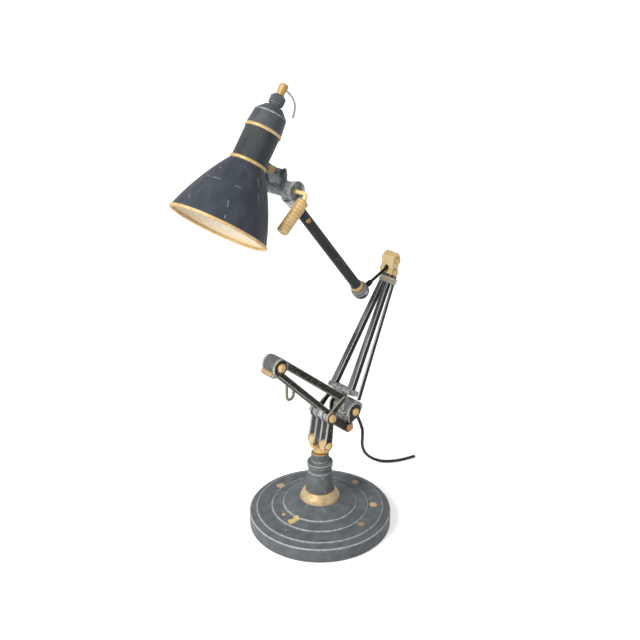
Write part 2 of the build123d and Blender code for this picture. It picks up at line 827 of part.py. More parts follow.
# Two square rods in front and a flat bar behind them, drawn together from the elbow to the knuckle.
# Each has its foot's drop, then the place and size of its foot and its top as (y, across, width, depth).
bar_foot_y = elbow_half + bar_stand_off + bar_thickness / 2
rods = {
    "rod_near_front": (
        0,
        (-rod_foot_spacing / 2, 0, rod_foot_width, rod_foot_depth),
        (-rod_top_spacing / 2, 0, rod_top_width, rod_top_depth),
    ),
    "rod_far_front": (
        0,
        (rod_foot_spacing / 2, 0, rod_foot_width, rod_foot_depth),
        (rod_top_spacing / 2, 0, rod_top_width, rod_top_depth),
    ),
    "rod_near_rear": (
        bar_foot_drop,
        (-bar_foot_y, -bar_foot_reach, bar_thickness, bar_foot_depth),
        (-bar_top_y, -bar_top_reach, bar_thickness, bar_top_depth),
    ),
}
clamp_reach = clamp_drop + clamp_height
clamp_lows = []
clamp_highs = []
for name, (drop, foot, top) in rods.items():
    with BuildPart() as rod:
        for station, (y, across, width, depth) in ((-drop, foot), (upright_length, top)):
            with BuildSketch(square_plane(polar(elbow, station, upright_angle), upright_angle)):
                with Locations((y, across)):
                    Rectangle(width, depth)
        loft(ruled=True)
    save(rod, name)
    share = clamp_reach / (upright_length + drop)
    y, across, width, depth = [end + (start - end) * share for start, end in zip(foot, top)]
    clamp_lows.append((y - width / 2, across - depth / 2))
    clamp_highs.append((y + width / 2, across + depth / 2))

# Grooved clamp band round the rods below the knuckle
clamp_low = [min(values) - fit_clearance for values in zip(*clamp_lows)]
clamp_high = [max(values) + fit_clearance for values in zip(*clamp_highs)]
clamp_middle = [(low + high) / 2 for low, high in zip(clamp_low, clamp_high)]
clamp_inner = [high - low for low, high in zip(clamp_low, clamp_high)]
clamp_band = (clamp_height - clamp_groove) / 2
with BuildPart() as rod_clamp:
    for start, length, wall in (
        (0, clamp_band, clamp_wall),
        (clamp_band, clamp_groove, clamp_wall / 2),
        (clamp_band + clamp_groove, clamp_band, clamp_wall),
    ):
        with BuildSketch(square_plane(polar(rod_top, start - clamp_reach, upright_angle), upright_angle)):
            with Locations(tuple(clamp_middle)):
                RectangleRounded(clamp_inner[0] + 2 * wall, clamp_inner[1] + 2 * wall, wall)
                Rectangle(*clamp_inner, mode=Mode.SUBTRACT)
        extrude(amount=length)
save(rod_clamp, "rod_clamp")

# Brass knuckle in two halves, clamped round the ball of the link
lean = knuckle_angle - upright_angle
knuckle_top = polar((0, 0), knuckle_length, lean)
knuckle_half = knuckle_width / 2
knuckle_bolt_points = [
    polar(rod_top, ball_station + step * knuckle_bolt_spacing / 2, knuckle_angle) for step in (-1, 1)
]
for side in sides:
    with BuildPart() as knuckle:
        with BuildSketch(arm_plane(rod_top, upright_angle, y=layer(side, 0, knuckle_half))) as block:
            with BuildLine():
                Polyline(
                    (0, -knuckle_depth / 2),
                    polar(knuckle_top, knuckle_depth / 2, lean - 90),
                    polar(knuckle_top, knuckle_depth / 2, lean + 90),
                    (0, knuckle_depth / 2),
                    close=True,
                )
            make_face()
        extrude(amount=knuckle_half)
        chamfer(knuckle.edges().filter_by(Axis.Y).sort_by(Axis.Z)[-2:], knuckle_chamfer)
        with Locations((ball[0], 0, ball[1])):
            Sphere(ball_diameter / 2 + slide_clearance, mode=Mode.SUBTRACT)
        mouth = link_diameter / 2 + link_mouth_clearance
        turn(arm_plane(ball, link_angle), [
            (0, 0),
            (0, mouth),
            (knuckle_depth, mouth + knuckle_depth * tan(radians(link_mouth_angle))),
            (knuckle_depth, 0),
        ], mode=Mode.SUBTRACT)
        for point in knuckle_bolt_points:
            bore(point, knuckle_bolt_diameter / 2 + fit_clearance)
    save(knuckle, f"knuckle_{side}")

# Bolts of the knuckle, with hexagon nuts on the near side and round heads on the far side
with BuildPart() as knuckle_bolts:
    for point in knuckle_bolt_points:
        with BuildSketch(arm_plane(point, y=knuckle_half)) as shank:
            Circle(knuckle_bolt_diameter / 2)
        extrude(shank.sketch, amount=knuckle_width)
        with BuildSketch(arm_plane(point, y=-knuckle_half)) as nut:
            RegularPolygon(hexagon(knuckle_nut_across), 6)
        extrude(nut.sketch, amount=knuckle_nut_thickness)
        with BuildSketch(arm_plane(point, y=knuckle_half + knuckle_nut_thickness)) as head:
            Circle(knuckle_nut_across / 2)
        extrude(head.sketch, amount=knuckle_nut_thickness)
save(knuckle_bolts, "knuckle_bolts")

# Link: ball in the knuckle, round rod, and an eye on the cap's cross pin
link_plane = arm_plane(ball, link_angle)
with BuildPart() as link_rod:
    turn(link_plane, [
        (0, 0),
        (0, link_diameter / 2),
        (link_length, link_diameter / 2),
        (link_length, 0),
    ])
    with Locations((ball[0], 0, ball[1])):
        Sphere(ball_diameter / 2)
    with Locations((cap_centre[0], 0, cap_centre[1])):
        Sphere(link_eye_diameter / 2)
    bore(cap_centre, cap_pin_diameter / 2 + slide_clearance)
save(link_rod, "link_rod")

# Tapered sleeve on the link beside the cap
boot_end = link_length - cap_diameter / 2 - boot_gap
with BuildPart() as link_boot:
    turn(link_plane, [
        (boot_end - boot_length, link_diameter / 2 + fit_clearance),
        (boot_end, link_diameter / 2 + fit_clearance),
        (boot_end, boot_diameter / 2),
        (boot_end - boot_length * 2 / 3, boot_diameter / 2),
        (boot_end - boot_length, link_diameter / 2 + 2 * fit_clearance),
    ])
save(link_boot, "link_boot")

# Ringed ball cap at the foot of the tube, hollow for the link's eye and slotted for its swing
tube_plane = arm_plane(cap_centre, tube_angle)
cap_radius = cap_diameter / 2
with BuildPart() as tube_cap:
    with BuildSketch(tube_plane) as cap_profile:
        with BuildLine():
            ThreePointArc(
                (-cap_radius, 0),
                (-cap_radius * sin(pi / 4), cap_radius * cos(pi / 4)),
                (0, cap_radius),
            )
            Polyline(
                (0, cap_radius),
                (cap_band_depth, cap_radius - cap_band_depth),
                (cap_band_depth + cap_band_width, cap_radius - cap_band_depth),
                (2 * cap_band_depth + cap_band_width, cap_radius),
                (2 * (cap_band_depth + cap_band_width), cap_radius),
                (cap_seat, cap_radius - 2 * cap_band_depth),
                (cap_seat, 0),
                (-cap_radius, 0),
            )
        make_face()
    revolve(cap_profile.sketch, axis=Axis(tube_plane.origin, tube_plane.x_dir))
    with Locations((cap_centre[0], 0, cap_centre[1])):
        Sphere(cap_radius - cap_wall, mode=Mode.SUBTRACT)
    slot_half = link_diameter / 2 + side_clearance
    with BuildSketch(arm_plane(cap_centre, link_angle + 180, y=slot_half)) as slot:
        with BuildLine():
            Polyline(
                (0, 0),
                polar((0, 0), 2 * cap_diameter, -cap_slot_angle),
                polar((0, 0), 2 * cap_diameter, cap_slot_angle),
                close=True,
            )
        make_face()
    extrude(slot.sketch, amount=2 * slot_half, mode=Mode.SUBTRACT)
    bore(cap_centre, cap_pin_diameter / 2 + fit_clearance)
save(tube_cap, "tube_cap")

# Cross pin of the cap
with BuildPart() as cap_pin:
    with BuildSketch(arm_plane(cap_centre, y=cap_radius - edge_bevel / 3)) as pin:
        Circle(cap_pin_diameter / 2)
    extrude(pin.sketch, amount=2 * (cap_radius - edge_bevel / 3))
save(cap_pin, "cap_pin")

# Brass ring between the cap and the tube
with BuildPart() as tube_ring:
    turn(tube_plane, [
        (cap_seat, tube_diameter / 2 + fit_clearance),
        (cap_seat, ring_diameter / 2),
        (cap_seat + ring_length / 2, ring_diameter / 2),
        (cap_seat + ring_length, tube_diameter / 2 + edge_bevel),
        (cap_seat + ring_length, tube_diameter / 2 + fit_clearance),
    ])
save(tube_ring, "tube_ring")

# Upper tube
tube_bore = tube_diameter / 2 - tube_wall
tube_end = tube_length - barrel_diameter / 2 - barrel_neck_length
with BuildPart() as arm_tube:
    turn(tube_plane, [
        (cap_seat, tube_bore),
        (tube_end, tube_bore),
        (tube_end, tube_diameter / 2),
        (cap_seat, tube_diameter / 2),
    ])
save(arm_tube, "arm_tube")

# Ringed collar at the head of the tube
collar_radius = tube_collar_diameter / 2
collar_band = tube_collar_length / 4
with BuildPart() as tube_collar:
    turn(tube_plane, [
        (tube_end - tube_collar_length, tube_diameter / 2 + fit_clearance),
        (tube_end, tube_diameter / 2 + fit_clearance),
        (tube_end, collar_radius),
        (tube_end - collar_band, collar_radius),
        (tube_end - collar_band - edge_bevel / 2, collar_radius - edge_bevel),
        (tube_end - 2 * collar_band, collar_radius - edge_bevel),
        (tube_end - 2 * collar_band - edge_bevel / 2, collar_radius),
        (tube_end - 3 * collar_band, collar_radius),
        (tube_end - tube_collar_length, tube_diameter / 2 + edge_bevel),
    ])
save(tube_collar, "tube_collar")


def save_head(builder, name):
    """Writes a piece of the head, swung round the tube out of the plane of the arm."""
    swung = builder.part.rotate(Axis(tube_plane.origin, tube_plane.x_dir), head_swing)
    swung.label = name
    export_step(swung, f"parts/{name}.step")


# Cast barrel: neck and spigot on the tube, cross bore, flared cup and the lug of the wing screw
barrel_plane = cross_plane(barrel)
barrel_half = barrel_length / 2
cup_floor = barrel_half - cup_depth
spindle_bore = spindle_diameter / 2 + slide_clearance
lug_near = wing_lug_length / 2 - wing_lug_offset
with BuildPart() as head_barrel:
    turn(tube_plane, [
        (tube_end - tube_spigot_length, 0),
        (tube_end - tube_spigot_length, tube_bore - slide_clearance),
        (tube_end + face_clearance, tube_bore - slide_clearance),
        (tube_end + face_clearance, barrel_neck_diameter / 2),
        (tube_length, barrel_neck_diameter / 2),
        (tube_length, 0),
    ])
    turn(barrel_plane, [
        (-barrel_half, 0),
        (-barrel_half, barrel_diameter / 2),
        (cup_floor - cup_wall, barrel_diameter / 2),
        (cup_floor, cup_diameter / 2 - cup_flare),
        (barrel_half, cup_diameter / 2),
        (barrel_half, cup_diameter / 2 - cup_wall),
        (cup_floor, cup_diameter / 2 - cup_wall - cup_flare),
        (cup_floor, 0),
    ])
    plate(
        arm_plane((0, 0), y=wing_lug_offset + wing_lug_length / 2),
        [(*barrel, wing_lug_radius), (*wing, wing_lug_radius)],
        wing_lug_length,
    )
    bore(barrel, spindle_bore)
    bore(wing, wing_screw_diameter / 2 + slide_clearance)
save_head(head_barrel, "head_barrel")

# Wing screw, with the brass pad on its tip that presses on the bracket's quadrant
wing_plane = cross_plane(wing)
bracket_y = barrel_half + face_clearance
pad_back = bracket_y - face_clearance - pad_thickness
hub_start = lug_near + face_clearance
with BuildPart() as wing_screw:
    turn(wing_plane, [
        (-pad_back - pad_thickness / 2, 0),
        (-pad_back - pad_thickness / 2, wing_screw_diameter / 2),
        (hub_start, wing_screw_diameter / 2),
        (hub_start, wing_hub_diameter / 2),
        (hub_start + wing_hub_length, wing_hub_diameter / 3),
        (hub_start + wing_hub_length, 0),
    ])
    with BuildSketch(Plane(origin=(wing[0], 0, wing[1]), x_dir=(0, -1, 0), z_dir=(1, 0, 0))) as wings:
        with Locations((hub_start + wing_hub_length / 2 + edge_bevel, 0)):
            SlotOverall(wing_span, wing_hub_length, rotation=90)
    extrude(wings.sketch, amount=wing_thickness / 2, both=True)
    turn(wing_plane, [
        (-pad_back - pad_thickness, 0),
        (-pad_back - pad_thickness, pad_diameter / 2),
        (-pad_back, wing_screw_diameter / 2 + edge_bevel),
        (-pad_back, wing_screw_diameter / 2 + fit_clearance),
        (-pad_back - pad_thickness / 2 - fit_clearance, wing_screw_diameter / 2 + fit_clearance),
        (-pad_back - pad_thickness / 2 - fit_clearance, 0),
    ])
save_head(wing_screw, "wing_screw")

# Head bracket: spindle, quadrant plate, arm and the saddle on the shade's neck
head_plane = arm_plane(barrel, shade_angle, y=bracket_y + bracket_thickness)
neck_radius = neck_diameter / 2
saddle_face = shade_offset - neck_radius
saddle_middle = saddle_lift + saddle_height / 2
spindle_end = cup_floor - face_clearance
with BuildPart() as head_bracket:
    with BuildSketch(head_plane) as quadrant:
        Circle(quadrant_radius)
        with BuildLine():
            Polyline(
                (0, 0),
                polar((0, 0), 2 * quadrant_radius, quadrant_start),
                polar((0, 0), 2 * quadrant_radius, (quadrant_start + quadrant_end) / 2),
                polar((0, 0), 2 * quadrant_radius, quadrant_end),
                close=True,
            )
        make_face(mode=Mode.INTERSECT)
    extrude(quadrant.sketch, amount=bracket_thickness)
    plate(head_plane, [(0, 0, bracket_boss_radius)], bracket_thickness)
    plate(head_plane, [
        (0, 0, bracket_arm_radius),
        (saddle_middle, saddle_face - saddle_thickness / 2, bracket_arm_radius),
    ], bracket_thickness)
    with BuildSketch(head_plane) as saddle:
        with Locations((saddle_middle, saddle_face)):
            RectangleRounded(saddle_height, 2 * saddle_thickness, saddle_thickness / 3)
    extrude(saddle.sketch, amount=bracket_y + bracket_thickness + saddle_near_reach)
    turn(arm_plane(rim, shade_angle), [
        (0, 0),
        (0, neck_radius + fit_clearance),
        (2 * shade_station, neck_radius + fit_clearance),
        (2 * shade_station, 0),
    ], mode=Mode.SUBTRACT)
    with BuildSketch(arm_plane(rim, shade_angle, y=head_plane.origin.Y)) as beyond_neck:
        with Locations((shade_station, 0)):
            Rectangle(2 * shade_station, 2 * neck_radius - saddle_thickness)
    extrude(beyond_neck.sketch, amount=2 * head_plane.origin.Y, mode=Mode.SUBTRACT)
    turn(barrel_plane, [
        (-bracket_y - bracket_thickness / 2, 0),
        (-bracket_y - bracket_thickness / 2, spindle_diameter / 2),
        (spindle_end, spindle_diameter / 2),
        (spindle_end, crank_diameter / 2 + slide_clearance),
        (spindle_end - crank_seat_depth, crank_diameter / 2 + slide_clearance),
        (spindle_end - crank_seat_depth, 0),
    ])
save_head(head_bracket, "head_bracket")

# Crank rod from the spindle's end, bent over to carry the grip
grip_plane = arm_plane(barrel, crank_angle, y=-crank_standoff)
crank_root_y = -(spindle_end - crank_seat_depth + face_clearance)
rod_reach = grip_start + grip_length - grip_end_wall - face_clearance
crank_tip = polar(barrel, rod_reach, crank_angle)
with BuildPart() as crank_rod:
    with BuildLine() as crank_path:
        FilletPolyline(
            (barrel[0], crank_root_y, barrel[1]),
            (barrel[0], -crank_standoff, barrel[1]),
            (crank_tip[0], -crank_standoff, crank_tip[1]),
            radius=crank_bend_radius,
        )
    with BuildSketch(Plane(origin=(barrel[0], crank_root_y, barrel[1]), z_dir=(0, -1, 0))):
        Circle(crank_diameter / 2)
    sweep()
save_head(crank_rod, "crank_rod")

# Ribbed grip that turns on the crank rod
grip_radius = grip_diameter / 2
groove_pitch = grip_length / (grip_grooves + 1)
with BuildPart() as grip:
    turn(grip_plane, [
        (grip_start, crank_diameter / 2 + slide_clearance),
        (grip_start, grip_radius - grip_end_chamfer),
        (grip_start + grip_end_chamfer, grip_radius),
        (grip_start + grip_length - grip_end_chamfer, grip_radius),
        (grip_start + grip_length, grip_radius - grip_end_chamfer),
        (grip_start + grip_length, 0),
        (grip_start + grip_length - grip_end_wall, 0),
        (grip_start + grip_length - grip_end_wall, crank_diameter / 2 + slide_clearance),
    ])
    for index in range(grip_grooves):
        station = grip_start + (index + 1) * groove_pitch
        turn(grip_plane, [
            (station - grip_groove_width / 2, grip_radius),
            (station - grip_groove_width / 4, grip_radius - grip_groove_depth),
            (station + grip_groove_width / 4, grip_radius - grip_groove_depth),
            (station + grip_groove_width / 2, grip_radius),
            (station + grip_groove_width / 2, grip_radius + edge_bevel),
            (station - grip_groove_width / 2, grip_radius + edge_bevel),
        ], mode=Mode.SUBTRACT)
save_head(grip, "grip")

# Spun bell shade, open at the rim and at the neck
shade_plane = arm_plane(rim, shade_angle)
shade_axis = Axis(shade_plane.origin, shade_plane.x_dir)
rim_radius = rim_diameter / 2
bell_end = shade_station - neck_ring_width / 2
bell_top_radius = neck_radius + fit_clearance
with BuildPart() as shade:
    with BuildSketch(shade_plane) as bell:
        with BuildLine():
            ThreePointArc(
                (0, rim_radius),
                (bell_middle_station, bell_middle_diameter / 2),
                (bell_end, bell_top_radius + shade_wall),
            )
            Line((bell_end, bell_top_radius + shade_wall), (bell_end, bell_top_radius))
            ThreePointArc(
                (bell_end, bell_top_radius),
                (bell_middle_station, bell_middle_diameter / 2 - shade_wall),
                (0, rim_radius - shade_wall),
            )
            Line((0, rim_radius - shade_wall), (0, rim_radius))
        make_face()
    revolve(bell.sketch, axis=shade_axis)
save_head(shade, "shade")

# Rolled brass rim under the edge of the shade
with BuildPart() as shade_rim:
    with BuildSketch(shade_plane) as roll:
        with Locations((-rim_roll_diameter / 4, rim_radius - shade_wall / 2)):
            Circle(rim_roll_diameter / 2)
        with Locations((rim_roll_diameter / 2, rim_radius)):
            Rectangle(rim_roll_diameter, 4 * rim_roll_diameter, mode=Mode.SUBTRACT)
    revolve(roll.sketch, axis=shade_axis)
save_head(shade_rim, "shade_rim")

# Neck sleeve round the lampholder
neck_start = bell_end - neck_lap
neck_end = neck_start + neck_length
with BuildPart() as neck_sleeve:
    turn(shade_plane, [
        (neck_start, neck_radius - neck_wall),
        (neck_end, neck_radius - neck_wall),
        (neck_end, neck_radius),
        (neck_start, neck_radius),
    ])
save_head(neck_sleeve, "neck_sleeve")

# Brass rings at both ends of the neck
with BuildPart() as neck_rings:
    for start, width in ((bell_end, neck_ring_width), (neck_end - upper_ring_width, upper_ring_width)):
        turn(shade_plane, [
            (start, neck_radius + fit_clearance),
            (start + width, neck_radius + fit_clearance),
            (start + width, neck_radius + fit_clearance + edge_bevel / 2),
            (start + width * 2 / 3, neck_ring_diameter / 2),
            (start + width / 3, neck_ring_diameter / 2),
            (start, neck_radius + fit_clearance + edge_bevel / 2),
        ])
save_head(neck_rings, "neck_rings")

# Socket cap: hollow tapered skirt and crown, waist, knob and the nipple that carries the lampholder
cap_top = neck_end + cap_length + cap_crown_length + knob_waist_length + knob_length
crown_start = neck_end + cap_length
knob_start = crown_start + cap_crown_length + knob_waist_length
plug_hole = plug_foot_diameter / 2 + fit_clearance
with BuildPart() as socket_cap:
    turn(shade_plane, [
        (neck_end - upper_ring_width, 0),
        (neck_end - upper_ring_width, neck_radius - neck_wall - fit_clearance),
        (neck_end, neck_radius - neck_wall - fit_clearance),
        (neck_end, neck_radius + edge_bevel / 2),
        (crown_start, cap_shoulder_diameter / 2),
        (crown_start + cap_crown_length, cap_crown_diameter / 2),
        (crown_start + cap_crown_length, knob_waist_diameter / 2),
        (knob_start, knob_waist_diameter / 2),
        (knob_start + edge_bevel, knob_diameter / 2),
        (cap_top - 2 * edge_bevel, knob_diameter / 2),
        (cap_top, knob_diameter / 2 - 2 * edge_bevel),
        (cap_top, plug_hole),
        (cap_top - plug_spigot_length, plug_hole),
        (cap_top - plug_spigot_length, 0),
    ])
    skirt_inner = neck_radius - neck_wall - fit_clearance - cap_shell
    turn(shade_plane, [
        (neck_end - upper_ring_width, nipple_diameter / 2),
        (neck_end - upper_ring_width, skirt_inner),
        (neck_end, skirt_inner),
        (crown_start - cap_shell, cap_shoulder_diameter / 2 - cap_shell),
        (crown_start + cap_crown_length - cap_shell, cap_crown_diameter / 2 - cap_shell),
        (crown_start + cap_crown_length - cap_shell, nipple_diameter / 2),
    ], mode=Mode.SUBTRACT)
save_head(socket_cap, "socket_cap")

# Lampholder hung from the socket cap
holder_top = neck_end - upper_ring_width
holder_foot = holder_top - holder_length
with BuildPart() as lampholder:
    turn(shade_plane, [
        (holder_foot, holder_mouth_diameter / 2),
        (holder_foot, holder_diameter / 2),
        (holder_top - edge_bevel, holder_diameter / 2),
        (holder_top, holder_diameter / 2 - edge_bevel),
        (holder_top, 0),
        (holder_foot + holder_mouth_depth, 0),
        (holder_foot + holder_mouth_depth, holder_mouth_diameter / 2),
    ])
save_head(lampholder, "lampholder")

# Bulb: screw cap in the holder, and a round glass below it
bulb_top = holder_foot + holder_mouth_depth - face_clearance
bulb_joint = bulb_top - bulb_cap_length
bulb_tip = bulb_top - bulb_length
bulb_radius = bulb_diameter / 2
bulb_shoulder = polar((bulb_tip + bulb_radius, 0), bulb_radius, bulb_shoulder_angle)
with BuildPart() as bulb:
    turn(shade_plane, [
        (bulb_top, 0),
        (bulb_top, bulb_cap_diameter / 4),
        (bulb_top - 2 * edge_bevel, bulb_cap_diameter / 2),
        (bulb_joint, bulb_cap_diameter / 2),
        (bulb_joint, 0),
    ])
    with BuildSketch(shade_plane) as glass:
        with BuildLine():
            ThreePointArc(
                (bulb_tip, 0),
                (bulb_tip + bulb_radius, bulb_radius),
                bulb_shoulder,
            )
            Line(bulb_shoulder, (bulb_joint, bulb_cap_diameter / 2))
            Line((bulb_joint, bulb_cap_diameter / 2), (bulb_joint, 0))
            Line((bulb_joint, 0), (bulb_tip, 0))
        make_face()
    revolve(glass.sketch, axis=shade_axis)
save_head(bulb, "bulb")

# Brass plug of the pull switch, with a side hole for its cord
plug_top = cap_top + plug_length
plug_hole_station = plug_top - plug_hole_drop
pull_exit = polar(rim, plug_hole_station, shade_angle)
pull_angle = shade_angle - 90
with BuildPart() as switch_plug:
    turn(shade_plane, [
        (cap_top - plug_spigot_length, 0),
        (cap_top - plug_spigot_length, plug_foot_diameter / 2),
        (cap_top, plug_foot_diameter / 2),
        (plug_top - edge_bevel, plug_diameter / 2),
        (plug_top, plug_diameter / 2 - edge_bevel),
        (plug_top, 0),
    ])
    turn(arm_plane(pull_exit, pull_angle), [
        (0, 0),
        (0, pull_cord_diameter / 2 + slide_clearance),
        (plug_diameter, pull_cord_diameter / 2 + slide_clearance),
        (plug_diameter, 0),
    ], mode=Mode.SUBTRACT)
save_head(switch_plug, "switch_plug")


def cord_tube(points, diameter, name):
    """Round cord along straight runs joined by the largest tangent arcs that they allow."""
    points = [Vector(*point) for point in points]
    runs = [end - start for start, end in zip(points, points[1:])]
    radii = []
    for before, after in zip(runs, runs[1:]):
        half_turn = radians(before.get_angle(after)) / 2
        radii.append(arc_share * min(before.length, after.length) / tan(half_turn))
    with BuildPart() as cord:
        with BuildLine() as route:
            FilletPolyline(*points, radius=radii)
        with BuildSketch(Plane(origin=points[0], z_dir=runs[0])):
            Circle(diameter / 2)
        sweep()
    length = route.wires()[0].length
    expected = pi * diameter ** 2 / 4 * length
    print(f"{name}: length {length:.1f}, radii {[round(radius) for radius in radii]}, "
          f"volume over section times length {cord.part.volume / expected:.4f}")
    return cord


# Mains cord, from the gland down to the desk behind the base, with a bare end
gland_tip = polar(gland_root, gland_length, gland_angle)
cord_rest = cord_diameter / 2 + 2 * fit_clearance
mains_first = polar(gland_tip, cord_straight, gland_angle)
mains_route = [
    (gland_tip[0], 0, gland_tip[1]),
    (mains_first[0], 0, mains_first[1]),
    *cord_drape,
    *[(x, y, cord_rest) for x, y in cord_end],
]
mains_cord = cord_tube(mains_route, cord_diameter, "mains_cord")
save(mains_cord, "mains_cord")

# Pull cord of the switch, from the plug's side hole and down behind the cap
pull_start = polar(pull_exit, face_clearance, pull_angle)
pull_first = polar(pull_start, pull_straight, pull_angle)
pull_route = [
    (pull_start[0], 0, pull_start[1]),
    (pull_first[0], 0, pull_first[1]),
    *[(pull_first[0] + x, 0, pull_first[1] + z) for x, z in pull_drape],
]
pull_cord = cord_tube(pull_route, pull_cord_diameter, "pull_cord")
save_head(pull_cord, "pull_cord")
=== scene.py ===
import json
from math import cos, radians, sin, tau

import bmesh
import bpy
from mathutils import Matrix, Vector


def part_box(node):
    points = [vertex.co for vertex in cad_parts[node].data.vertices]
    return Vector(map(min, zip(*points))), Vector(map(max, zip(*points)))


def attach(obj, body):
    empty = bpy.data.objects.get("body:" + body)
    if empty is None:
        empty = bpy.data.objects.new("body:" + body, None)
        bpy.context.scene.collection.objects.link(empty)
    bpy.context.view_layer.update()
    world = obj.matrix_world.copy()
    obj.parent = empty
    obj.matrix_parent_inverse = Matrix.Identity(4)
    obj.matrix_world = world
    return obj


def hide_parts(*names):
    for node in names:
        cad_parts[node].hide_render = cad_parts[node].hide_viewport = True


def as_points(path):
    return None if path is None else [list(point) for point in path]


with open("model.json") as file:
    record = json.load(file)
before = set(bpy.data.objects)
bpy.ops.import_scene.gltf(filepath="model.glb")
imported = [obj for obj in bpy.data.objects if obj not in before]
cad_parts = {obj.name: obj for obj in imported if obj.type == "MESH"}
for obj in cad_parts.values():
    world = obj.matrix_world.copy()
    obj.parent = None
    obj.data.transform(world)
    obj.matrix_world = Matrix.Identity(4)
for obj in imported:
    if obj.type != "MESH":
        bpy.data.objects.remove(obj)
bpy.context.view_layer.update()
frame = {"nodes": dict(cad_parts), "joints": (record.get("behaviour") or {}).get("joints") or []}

MM = 0.001
nodes = frame["nodes"]
joint_axis = {joint["name"]: Vector(joint["axis"]).normalized() for joint in frame["joints"]}
joint_place = {
    joint["name"]: Vector(joint["pos_m"]) for joint in frame["joints"] if "pos_m" in joint
}


def middle(node):
    """Middle of a node's box at rest."""
    low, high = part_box(node)
    return (low + high) / 2


def heading(direction):
    """Turn that lays a pattern's Z along a direction."""
    return tuple(direction.to_track_quat("Z", "Y").to_euler())


def lie(node):
    """Direction of a long piece, from the lowest tenth of its points to the highest tenth."""
    vertices = nodes[node].data.vertices
    places = sorted((vertex.co for vertex in vertices), key=lambda place: place.z)
    end = max(1, len(places) // 10)
    return (sum(places[-end:], Vector()) - sum(places[:end], Vector())).normalized()


def put(name, data):
    """New object in the scene."""
    piece = bpy.data.objects.new(name, data)
    bpy.context.scene.collection.objects.link(piece)
    return piece


# Places and directions that the finishes follow
shade_axis = joint_axis["head_tilt"].cross(joint_axis["pull"])
shade_mouth = middle("shade_rim")
tube_axis = joint_axis["head_swivel"]
rod_axis = lie("rod_near_front")
strap_axis = lie("lower_strap_near")
UPRIGHT = (0, 0, 0), (0, 0, 1)       # origin and axis of the base
FORWARD = -1, 0, 0
NEAR_SIDE = 0, -1, 0

# Sizes of the finishes' patterns in mm. On the real lamp the casting's grit, the turning marks, the
# braid's threads and the scratches are finer, and they are drawn as coarse as they need to show
CAST_GRIT = 3.4
RING_FRAY = 6
SCRATCH_FRAY = 3
SCRATCH_HALF = 0.5
SPOT_FRAY = 5
SPOT_RAGGED = 6                      # how far the noise takes a spot's edge out
SPOT_EDGE = 2.3, 3.8                 # where that edge starts and ends, in from the radius
SIDE_FRAY = 9
BAND_HALF = 0.2
NICK_PITCH = 11
NICK_WIDTH = 0.7
PAINT_GRIT = 1.2
BRASS_PATCH = 8
BRASS_SPECK = 3
BRASS_CORNER = 5
TURNED_RING = 2
FRONT_STREAK = 2.5
FRONT_ARRIS = 2.6
CREAM_DUST = 12
# The painted reflection of the brass rim inside the shade starts at the first height and is full at
# the second
RIM_REFLECTION_FROM, RIM_REFLECTION_FULL = 12, 2       # heights above the shade's mouth

# Other numbers that the finishes share
EDGE_SAMPLES = 6
EDGE_BREAK = 0.6                     # how much the grain breaks a rubbed edge
NICK_DRAW = 9
NICKS_KEPT = 0.25
TURNED_DRAW = 20
FRONT_DRAW = 30

# Colours that several finishes share, or that a change brings in
# The third colour on the next line is a highlight painted along the rods' near arris
PAINT_BARE, STEEL_BARE, ARRIS_HIGHLIGHT = "#b4babf", "#d3d6d9", "#dfe1e2"
BLACK, BLACK_TINT, BLACK_BARE = "#181715", "#292826", "#c6c4b6"
# The last cream is an amber reflection of the brass rim, painted inside the shade near its mouth
CREAM, CREAM_DULL, CREAM_RIM_REFLECTION = "#fffaf3", "#f8eede", "#f6dfb4"


# Finishes
def linear(hex_colour):
    """sRGB hex value as a linear colour with full alpha."""
    channels = [int(hex_colour[i:i + 2], 16) / 255 for i in (1, 3, 5)]
    return tuple(c / 12.92 if c <= 0.04045 else ((c + 0.055) / 1.055) ** 2.4
                 for c in channels) + (1,)


def per_metre(size_mm):
    """Pattern scale for features of a real size, on coordinates in metres."""
    return 1000 / size_mm


def feed(tree, item, inputs):
    """Sets a node's inputs, or links them to other nodes' outputs."""
    for key, value in inputs.items():
        socket = item.inputs[key] if isinstance(key, int) else next(
            s for s in item.inputs if s.name == key and s.enabled)
        if isinstance(value, bpy.types.NodeSocket):
            tree.links.new(value, socket)
        else:
            socket.default_value = value


def add(tree, kind, inputs=None, out=None, **settings):
    """Adds a node with its settings and inputs, and gives back one of its outputs."""
    item = tree.nodes.new(kind)
    for name, value in settings.items():
        setattr(item, name, value)
    feed(tree, item, inputs or {})
    return item.outputs[out] if out else next(s for s in item.outputs if s.enabled)


def start_finish(name):
    """New material, its node tree and the place on the piece."""
    material = bpy.data.materials.new(name)
    material.use_nodes = True
    tree = material.node_tree
    return material, tree, add(tree, "ShaderNodeTexCoord", out="Object")


def close_finish(tree, colour, rough, normal, metal=0.0, gloss=0.5):
    """Puts a finish's colour, roughness and relief on its shader."""
    feed(tree, tree.nodes["Principled BSDF"], {
        "Base Color": colour, "Roughness": rough, "Normal": normal, "Metallic": metal,
        "Specular IOR Level": gloss,
    })


